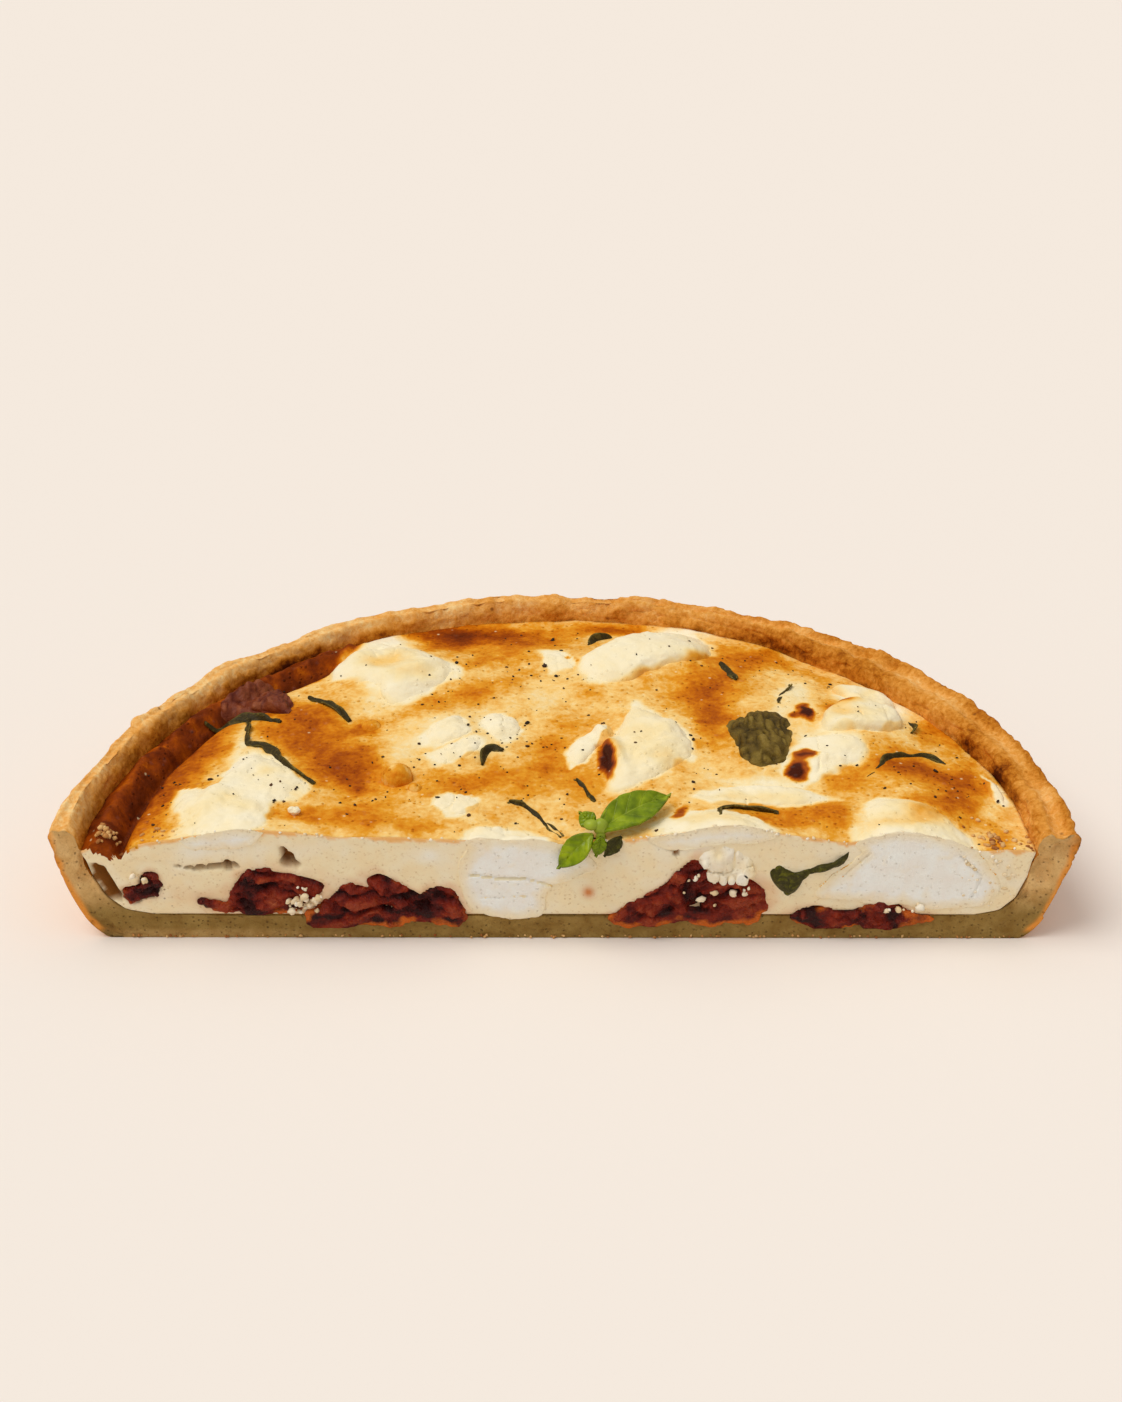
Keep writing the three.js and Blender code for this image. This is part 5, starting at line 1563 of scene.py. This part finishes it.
def baked_tone_group():
    """Colour and fine height of an oven-baked surface, by how brown it is, with small painted glints."""
    group, given, result = new_group(
        "Baked tone",
        [("Browning", FLOAT, 0.4), ("Mottle", FLOAT, 1.0)],
        [("Color", COLOUR), ("Height", FLOAT), ("Roughness", FLOAT), ("Glint", FLOAT)])
    broad = add_noise(group, 4.4, 4, 0.58, 0.2)
    fine = add_noise(group, 1.1, 4, 0.6, 0.1)
    uneven = add_maths(group, "MULTIPLY_ADD", broad, 0.60, -0.30)
    speckle = add_maths(group, "MULTIPLY_ADD", fine, 0.30, -0.15)
    dots = add_spots(group, 1.3, 0.22, 0.78)
    speckle = add_maths(group, "MULTIPLY_ADD", dots, 0.14, speckle)
    golden = add_maths(group, "MULTIPLY_ADD", given["Browning"], 1.6, 0.3, limited=True)
    both = add_maths(group, "MULTIPLY", add_maths(group, "ADD", uneven, speckle), given["Mottle"])
    baked = add_maths(group, "MULTIPLY_ADD", both, golden, given["Browning"])
    share = add_maths(group, "DIVIDE", baked, BROWNEST, limited=True)
    stops = [(place / BROWNEST, tone) for place, tone in BAKED_TONES]
    # Painted highlights: in small spots the colour is mixed towards a pale cream, standing in for glints
    painted_glint = add_maths(group, "MULTIPLY", add_spots(group, 3.0, 0.1, 0.72), 0.55)
    colour = add_mix(group, painted_glint, add_ramp(group, share, stops), tint((255, 232, 180)))
    group.links.new(colour, result["Color"])
    height = add_maths(group, "MULTIPLY_ADD", fine, 0.4, add_maths(group, "MULTIPLY", broad, 0.6))
    group.links.new(add_maths(group, "MULTIPLY_ADD", dots, 0.5, height), result["Height"])
    gloss = add_maths(group, "MULTIPLY_ADD", share, -0.3, 0.58)
    group.links.new(add_maths(group, "MULTIPLY_ADD", broad, 0.1, gloss), result["Roughness"])
    blister = add_spots(group, 2.6, 0.2, 0.8)
    group.links.new(add_maths(group, "MULTIPLY", blister, 0.5), result["Glint"])
    return group


def crumb_group():
    """Colour and height of a cut or broken face: a body tone with a paler crumb, pores and specks; holes
    and pores are darkened in colour as painted shade.
    """
    group, given, result = new_group(
        "Cut crumb",
        [("Body", COLOUR, None), ("Pale", COLOUR, None), ("Dark", COLOUR, None),
         ("Darkness", FLOAT, 0.3), ("Specks", FLOAT, 0.0)],
        [("Color", COLOUR), ("Height", FLOAT)])
    broad = add_noise(group, 5.0, 4, 0.6, 0.4)
    fine = add_noise(group, 0.9, 4, 0.65)
    soft = add_maths(group, "MULTIPLY_ADD", broad, 3.0, -1.0, limited=True)
    colour = add_mix(group, soft, given["Body"], given["Pale"])
    # Painted shade: small holes and pores take the dark tone
    hole_shade = add_maths(group, "MULTIPLY_ADD", fine, -7.0, 3.0, limited=True)
    colour = add_mix(group, add_maths(group, "MULTIPLY", hole_shade, given["Darkness"]), colour, given["Dark"])
    pore = add_spots(group, 1.1, 0.16, 0.45)
    colour = add_mix(group, add_maths(group, "MULTIPLY", pore, given["Darkness"]), colour, given["Dark"])
    speck = add_spots(group, 1.5, 0.15, 0.86)
    speck = add_maths(group, "MULTIPLY", speck, given["Specks"], limited=True)
    colour = add_mix(group, speck, colour, cut_tint((104, 68, 34)))
    group.links.new(colour, result["Color"])
    height = add_maths(group, "MULTIPLY_ADD", broad, 0.5, fine)
    group.links.new(add_maths(group, "SUBTRACT", height, pore), result["Height"])
    return group


def wrinkle_group():
    """Share of fold and fine height of a shrivelled skin, as on dried tomato and baked leaf."""
    group, given, result = new_group(
        "Shrivelled skin",
        [("Fold", FLOAT, 0.5)],
        [("Share", FLOAT), ("Height", FLOAT)])
    broad = add_noise(group, 3.0, 3, 0.6, 1.2)
    fine = add_noise(group, 0.7, 3, 0.6, 0.5)
    ridge = add_maths(group, "ABSOLUTE", add_maths(group, "MULTIPLY_ADD", broad, 2.0, -1.0))
    share = add_maths(group, "MULTIPLY", ridge, given["Fold"])
    share = add_maths(group, "MULTIPLY_ADD", fine, 0.5, share, limited=True)
    group.links.new(share, result["Share"])
    group.links.new(add_maths(group, "MULTIPLY_ADD", ridge, 0.8, fine), result["Height"])
    return group


def baked_custard_material(baked):
    material, tree, shader = new_material("baked_custard")
    tone = place_group(tree, baked, browning=add_mask(tree, "browning"), mottle=1.0)
    finish(tree, shader, tone["Color"], tone["Roughness"], 0.04)
    tree.links.new(tone["Glint"], shader.inputs["Coat Weight"])
    shader.inputs["Coat Roughness"].default_value = 0.12
    add_bump(tree, shader, tone["Height"], 0.8, 0.6)
    return material


def cheese_material(baked):
    material, tree, shader = new_material("goats_cheese")
    tone = place_group(tree, baked, browning=add_mask(tree, "browning"), mottle=0.35)
    finish(tree, shader, tone["Color"], 0.6, 0.12)
    add_bump(tree, shader, tone["Height"], 0.5, 0.6)
    return material


def crumb_tone(tree, crumb, body, pale, dark, darkness, specks):
    """A cut face in three tones, as they show in the weaker light on the cut; the dark tone is the painted
    shade of holes and pores.
    """
    return place_group(tree, crumb, body=cut_tint(body), pale=cut_tint(pale), dark=cut_tint(dark),
                       darkness=darkness, specks=specks)


def cut_custard_tone(tree, crumb):
    """The cut custard's own tone, which the edges of the cut cheese also fade into."""
    return crumb_tone(tree, crumb, (222, 199, 160), (222, 204, 170), (184, 146, 90), 0.4,
                      add_mask(tree, "specked"))


def cut_custard_material(crumb):
    material, tree, shader = new_material("cut_custard")
    tone = cut_custard_tone(tree, crumb)
    colour = add_mix(tree, add_mask(tree, "curd"), tone["Color"], cut_tint((219, 213, 198)))
    red = add_maths(tree, "MULTIPLY", add_mask(tree, "stain"), 0.4)
    colour = add_mix(tree, red, colour, cut_tint((184, 100, 36)))
    # Olive-brown in the air pockets: painted shade
    colour = add_mix(tree, add_mask(tree, "pocket"), colour, cut_tint((122, 76, 30)))
    colour = add_mix(tree, add_mask(tree, "gilded"), colour, cut_tint((214, 150, 66)))
    finish(tree, shader, colour, 0.5, 0.12)
    add_bump(tree, shader, tone["Height"], 0.5, 0.35)
    return material


def cut_cheese_material(crumb):
    material, tree, shader = new_material("cut_goats_cheese")
    tone = crumb_tone(tree, crumb, (216, 211, 202), (224, 221, 213), (200, 188, 166), 0.25, 0.0)
    round_it = cut_custard_tone(tree, crumb)
    colour = add_mix(tree, add_mask(tree, "fringe"), tone["Color"], round_it["Color"])
    finish(tree, shader, colour, 0.6, 0.12)
    add_bump(tree, shader, tone["Height"], 0.6, 0.4)
    return material


def baked_pastry_material():
    material, tree, shader = new_material("baked_pastry")
    broad = add_noise(tree, 9, 5, 0.62, 0.5)
    fine = add_noise(tree, 1.4, 5, 0.68, 0.3)
    share = add_maths(tree, "MULTIPLY_ADD", broad, 0.6, -0.30)
    share = add_maths(tree, "ADD", share, add_maths(tree, "MULTIPLY_ADD", fine, 0.9, -0.45))
    share = add_maths(tree, "ADD", share, add_mask(tree, "bake"), limited=True)
    colour = add_ramp(tree, share, [
        (0.0, (252, 214, 148)), (0.2, (246, 184, 104)), (0.4, (230, 156, 66)),
        (0.6, (200, 122, 32)), (0.8, (154, 80, 12)), (1.0, (80, 30, 6)),
    ])
    speck = add_spots(tree, 3.2, 0.14, 0.84)
    colour = add_mix(tree, add_maths(tree, "MULTIPLY", speck, 0.7), colour, tint((120, 66, 24)))
    finish(tree, shader, colour, 0.55, 0.04)
    add_bump(tree, shader, fine, 0.8, 0.6)
    return material


def pastry_section_material(crumb):
    material, tree, shader = new_material("cut_pastry")
    low = crumb_tone(tree, crumb, (118, 88, 38), (144, 116, 62), (88, 60, 26), 0.5, 0.4)
    high = crumb_tone(tree, crumb, (182, 140, 82), (206, 168, 112), (146, 104, 54), 0.5, 0.2)
    colour = add_mix(tree, add_mask(tree, "high"), low["Color"], high["Color"])
    colour = add_mix(tree, add_mask(tree, "skin"), colour, cut_tint((208, 134, 54)))
    finish(tree, shader, colour, 0.7, 0.12)
    add_bump(tree, shader, low["Height"], 0.9, 0.5)
    return material


def tomato_material(wrinkled):
    material, tree, shader = new_material("dried_tomato")
    skin = place_group(tree, wrinkled, fold=0.7)
    # Paler on the ridges and darker in the crevices: painted light and shade
    share = add_maths(tree, "MULTIPLY_ADD", add_mask(tree, "ridge"), 0.75, -0.28)
    share = add_maths(tree, "MULTIPLY_ADD", skin["Share"], 0.6, share, limited=True)
    colour = add_ramp(tree, share, [
        (0.0, (40, 2, 0)), (0.25, (84, 12, 2)), (0.5, (116, 30, 8)), (0.75, (140, 56, 26)),
        (1.0, (186, 108, 66)),
    ], LIGHT_ON_CUT)
    # Painted highlight: on the ridges the colour turns pale pink, standing in for the gloss of wet flesh
    painted_wet_highlight = add_maths(tree, "MULTIPLY_ADD", skin["Share"], 4.0, -2.7, limited=True)
    painted_wet_highlight = add_maths(tree, "MULTIPLY", painted_wet_highlight, add_maths(tree, "POWER", add_mask(tree, "ridge"), 2.0))
    colour = add_mix(tree, painted_wet_highlight, colour, cut_tint((222, 164, 130)))
    thin = add_maths(tree, "MULTIPLY_ADD", skin["Share"], 0.5, add_mask(tree, "thin"))
    thin = add_maths(tree, "MULTIPLY_ADD", thin, 1.5, -0.6, limited=True)
    colour = add_mix(tree, thin, colour, cut_tint((184, 88, 18)))
    finish(tree, shader, colour, 0.24, 0.2)
    add_bump(tree, shader, skin["Height"], 0.9, 0.7)
    return material


def leaf_veins(tree):
    """Share of vein on a leaf, from its own along and across values."""
    along, across = add_mask(tree, "along"), add_mask(tree, "across")
    out = add_maths(tree, "ABSOLUTE", across)
    slant = add_maths(tree, "MULTIPLY_ADD", out, -1.2, add_maths(tree, "MULTIPLY", along, 5.5))
    wave = add_maths(tree, "ABSOLUTE", add_maths(tree, "SINE", add_maths(tree, "MULTIPLY", slant, math.pi)))
    side = add_maths(tree, "MULTIPLY_ADD", wave, -6.0, 1.0, limited=True)
    middle = add_maths(tree, "MULTIPLY_ADD", out, -12.0, 1.0, limited=True)
    return add_maths(tree, "MAXIMUM", side, middle)


def fresh_basil_material():
    material, tree, shader = new_material("fresh_basil_leaf")
    patch = add_noise(tree, 4.0, 3, 0.55)
    colour = add_ramp(tree, patch, [
        (0.3, (84, 104, 2)), (0.5, (120, 140, 6)), (0.7, (156, 172, 20)),
    ])
    vein = leaf_veins(tree)
    colour = add_mix(tree, add_maths(tree, "MULTIPLY", vein, 0.5), colour, tint((172, 186, 66)))
    finish(tree, shader, colour, 0.26, 0.2)
    add_bump(tree, shader, add_maths(tree, "SUBTRACT", patch, vein), 0.5, 0.3)
    return material


def baked_basil_material(wrinkled):
    material, tree, shader = new_material("baked_basil_leaf")
    skin = place_group(tree, wrinkled, fold=1.0)
    rim = add_maths(tree, "ABSOLUTE", add_mask(tree, "across"))
    edge = add_maths(tree, "POWER", rim, 2.5)
    share = add_maths(tree, "MULTIPLY_ADD", edge, 0.35, skin["Share"], limited=True)
    colour = add_ramp(tree, share, [
        (0.0, (30, 22, 4)), (0.45, (62, 50, 14)), (0.8, (104, 88, 32)), (1.0, (150, 128, 66)),
    ])
    finish(tree, shader, colour, 0.5, 0.15)
    add_bump(tree, shader, skin["Height"], 0.5, 0.4)
    return material


def cut_basil_material(wrinkled):
    material, tree, shader = new_material("cut_basil_leaf")
    skin = place_group(tree, wrinkled, fold=1.0)
    colour = add_ramp(tree, skin["Share"], [
        (0.0, (30, 26, 6)), (0.4, (58, 54, 16)), (0.75, (90, 88, 14)), (1.0, (126, 130, 30)),
    ], LIGHT_ON_CUT)
    finish(tree, shader, colour, 0.4, 0.15)
    add_bump(tree, shader, skin["Height"], 0.5, 0.4)
    return material


def ridged_material(name, wrinkled, fold, ridge, least, stops, roughness, specular, bump):
    """Finish of a wrinkled heap: paler on its ridges and darker in its folds, which is painted light and
    shade.
    """
    material, tree, shader = new_material(name)
    skin = place_group(tree, wrinkled, fold=fold)
    share = add_maths(tree, "MULTIPLY_ADD", add_mask(tree, "ridge"), ridge, least)
    share = add_maths(tree, "MULTIPLY_ADD", skin["Share"], 0.5, share, limited=True)
    finish(tree, shader, add_ramp(tree, share, stops), roughness, specular)
    add_bump(tree, shader, skin["Height"], bump, 0.5)
    return material


TOMATO_SKIN_TONES = [(0.0, (84, 22, 6)), (0.4, (126, 58, 28)), (0.7, (154, 84, 46)), (1.0, (200, 138, 100))]
CRUMPLED_BASIL_TONES = [(0.0, (56, 42, 6)), (0.35, (98, 76, 22)), (0.6, (126, 102, 38)),
                        (0.8, (148, 122, 56)), (1.0, (184, 150, 84))]


def toned_material(name, tones, roughness):
    """Finish of small flakes and crumbs: each has its own tone."""
    material, tree, shader = new_material(name)
    grain = add_noise(tree, 0.5, 2)
    tone = add_maths(tree, "SUBTRACT", add_mask(tree, "tone"), 0.2)
    share = add_maths(tree, "MULTIPLY_ADD", grain, 0.4, tone)
    stops = [(k / (len(tones) - 1), tone) for k, tone in enumerate(tones)]
    finish(tree, shader, add_ramp(tree, share, stops), roughness, 0.25)
    return material


# Making the whole
baked_tone = baked_tone_group()
cut_crumb = crumb_group()
shrivelled_skin = wrinkle_group()

baked_custard = baked_custard_material(baked_tone)
cut_custard = cut_custard_material(cut_crumb)
cheese = cheese_material(baked_tone)
cut_cheese = cut_cheese_material(cut_crumb)
baked_pastry = baked_pastry_material()
cut_pastry = pastry_section_material(cut_crumb)
dried_tomato = tomato_material(shrivelled_skin)
tomato_skin = ridged_material("wrinkled_tomato_skin", shrivelled_skin, 0.5, 0.6, -0.1,
                              TOMATO_SKIN_TONES, 0.4, 0.18, 0.5)
fresh_basil = fresh_basil_material()
baked_basil = baked_basil_material(shrivelled_skin)
cut_basil = cut_basil_material(shrivelled_skin)
crumpled_basil = ridged_material("crumpled_basil_leaf", shrivelled_skin, 0.6, 0.7, -0.15,
                                 CRUMPLED_BASIL_TONES, 0.5, 0.15, 0.7)
pepper = toned_material("black_pepper", [(24, 14, 8), (52, 30, 14), (96, 60, 28)], 0.6)
crumb_of_pastry = toned_material("pastry_crumb", [(150, 84, 32), (206, 146, 78), (238, 196, 130)], 0.7)
crumb_of_cheese = toned_material("cheese_crumb", [(232, 204, 156), (246, 226, 190), (250, 240, 220)], 0.6)

make_case([baked_pastry, cut_pastry])
make_custard([baked_custard, cut_custard])
for name, form in TOP_CHEESE.items():
    make_top_cheese(name, form, [cheese, cut_cheese])
for name, forms in CUT_CHEESE.items():
    make_cut_cheese(name, forms, [cheese, cut_cheese])
make_cheese_on_cluster([cheese, cut_cheese])
for name, lobes in TOMATOES.items():
    make_cut_tomato(name, lobes, [dried_tomato], PALER_TOMATO.get(name, 0))
make_lump("tomato_top", TOMATO_TOP, [tomato_skin], "tomato_skin", 75, 0.6, 5.0, 0.3)
make_lump("basil_crumpled", CRUMPLED_BASIL, [crumpled_basil], "crumpled_basil", 83, 0.8, 5.5, 1.0)
for name, strips in BAKED_STRIPS.items():
    make_strips(name, strips, [baked_basil])
make_cut_basil([cut_basil])
make_sprig([fresh_basil])
make_under_leaf([cut_basil])
make_bubbles([baked_custard])
make_pepper([pepper])
make_cut_crumbs([crumb_of_cheese])
make_pastry_crumbs([crumb_of_pastry])


# Floor, light and camera, in metres
FLOOR_REACH = 6
FLOOR_TONE = (246, 236, 226)
SUN_STRENGTH = 1.5
SUN_SPREAD = math.radians(40)
SUN_COLOUR = (1.0, 0.985, 0.96)
SUN_FROM = (-0.45, -0.1, 0.88)
SKY_LOW = 0.2
SKY_HIGH = 0.75
SKY_COLOUR = (1.0, 0.99, 0.975, 1)
CAMERA_PLACE = (0.0008, -0.5500, 0.3528)
CAMERA_DOWN = math.radians(30.3)
CAMERA_TURN = math.radians(0.11)
LENS = 64.19
SENSOR_WIDTH = 36


def make_floor():
    bm = bmesh.new()
    bmesh.ops.create_grid(bm, x_segments=1, y_segments=1, size=FLOOR_REACH)
    mesh = bpy.data.meshes.new("floor")
    bm.to_mesh(mesh)
    bm.free()
    floor = linked_object("floor", mesh)
    material, tree, shader = new_material("pale_floor")
    finish(tree, shader, tint(FLOOR_TONE), 0.9, 0.0)
    mesh.materials.append(material)


def make_light():
    sun = bpy.data.lights.new("window_light", "SUN")
    sun.energy = SUN_STRENGTH
    sun.angle = SUN_SPREAD
    sun.color = SUN_COLOUR
    lamp = linked_object("window_light", sun)
    lamp.rotation_euler = Vector(SUN_FROM).to_track_quat("Z", "Y").to_euler()
    world = bpy.data.worlds.new("room")
    world.use_nodes = True
    tree = world.node_tree
    direction = add_node(tree, "ShaderNodeTexCoord").outputs["Generated"]
    up = add_node(tree, "ShaderNodeSeparateXYZ", {"Vector": direction}).outputs["Z"]
    share = add_maths(tree, "MAXIMUM", up, 0.0)
    strength = add_maths(tree, "MULTIPLY_ADD", share, SKY_HIGH - SKY_LOW, SKY_LOW)
    tree.links.new(strength, tree.nodes["Background"].inputs["Strength"])
    tree.nodes["Background"].inputs["Color"].default_value = SKY_COLOUR
    bpy.context.scene.world = world


def make_camera():
    data = bpy.data.cameras.new("camera")
    data.lens = LENS
    data.sensor_width = SENSOR_WIDTH
    camera = linked_object("camera", data)
    camera.location = CAMERA_PLACE
    camera.rotation_euler = (math.pi / 2 - CAMERA_DOWN, 0, CAMERA_TURN)
    bpy.context.scene.camera = camera


make_floor()
make_light()
make_camera()
bpy.context.scene.view_settings.view_transform = "Standard"
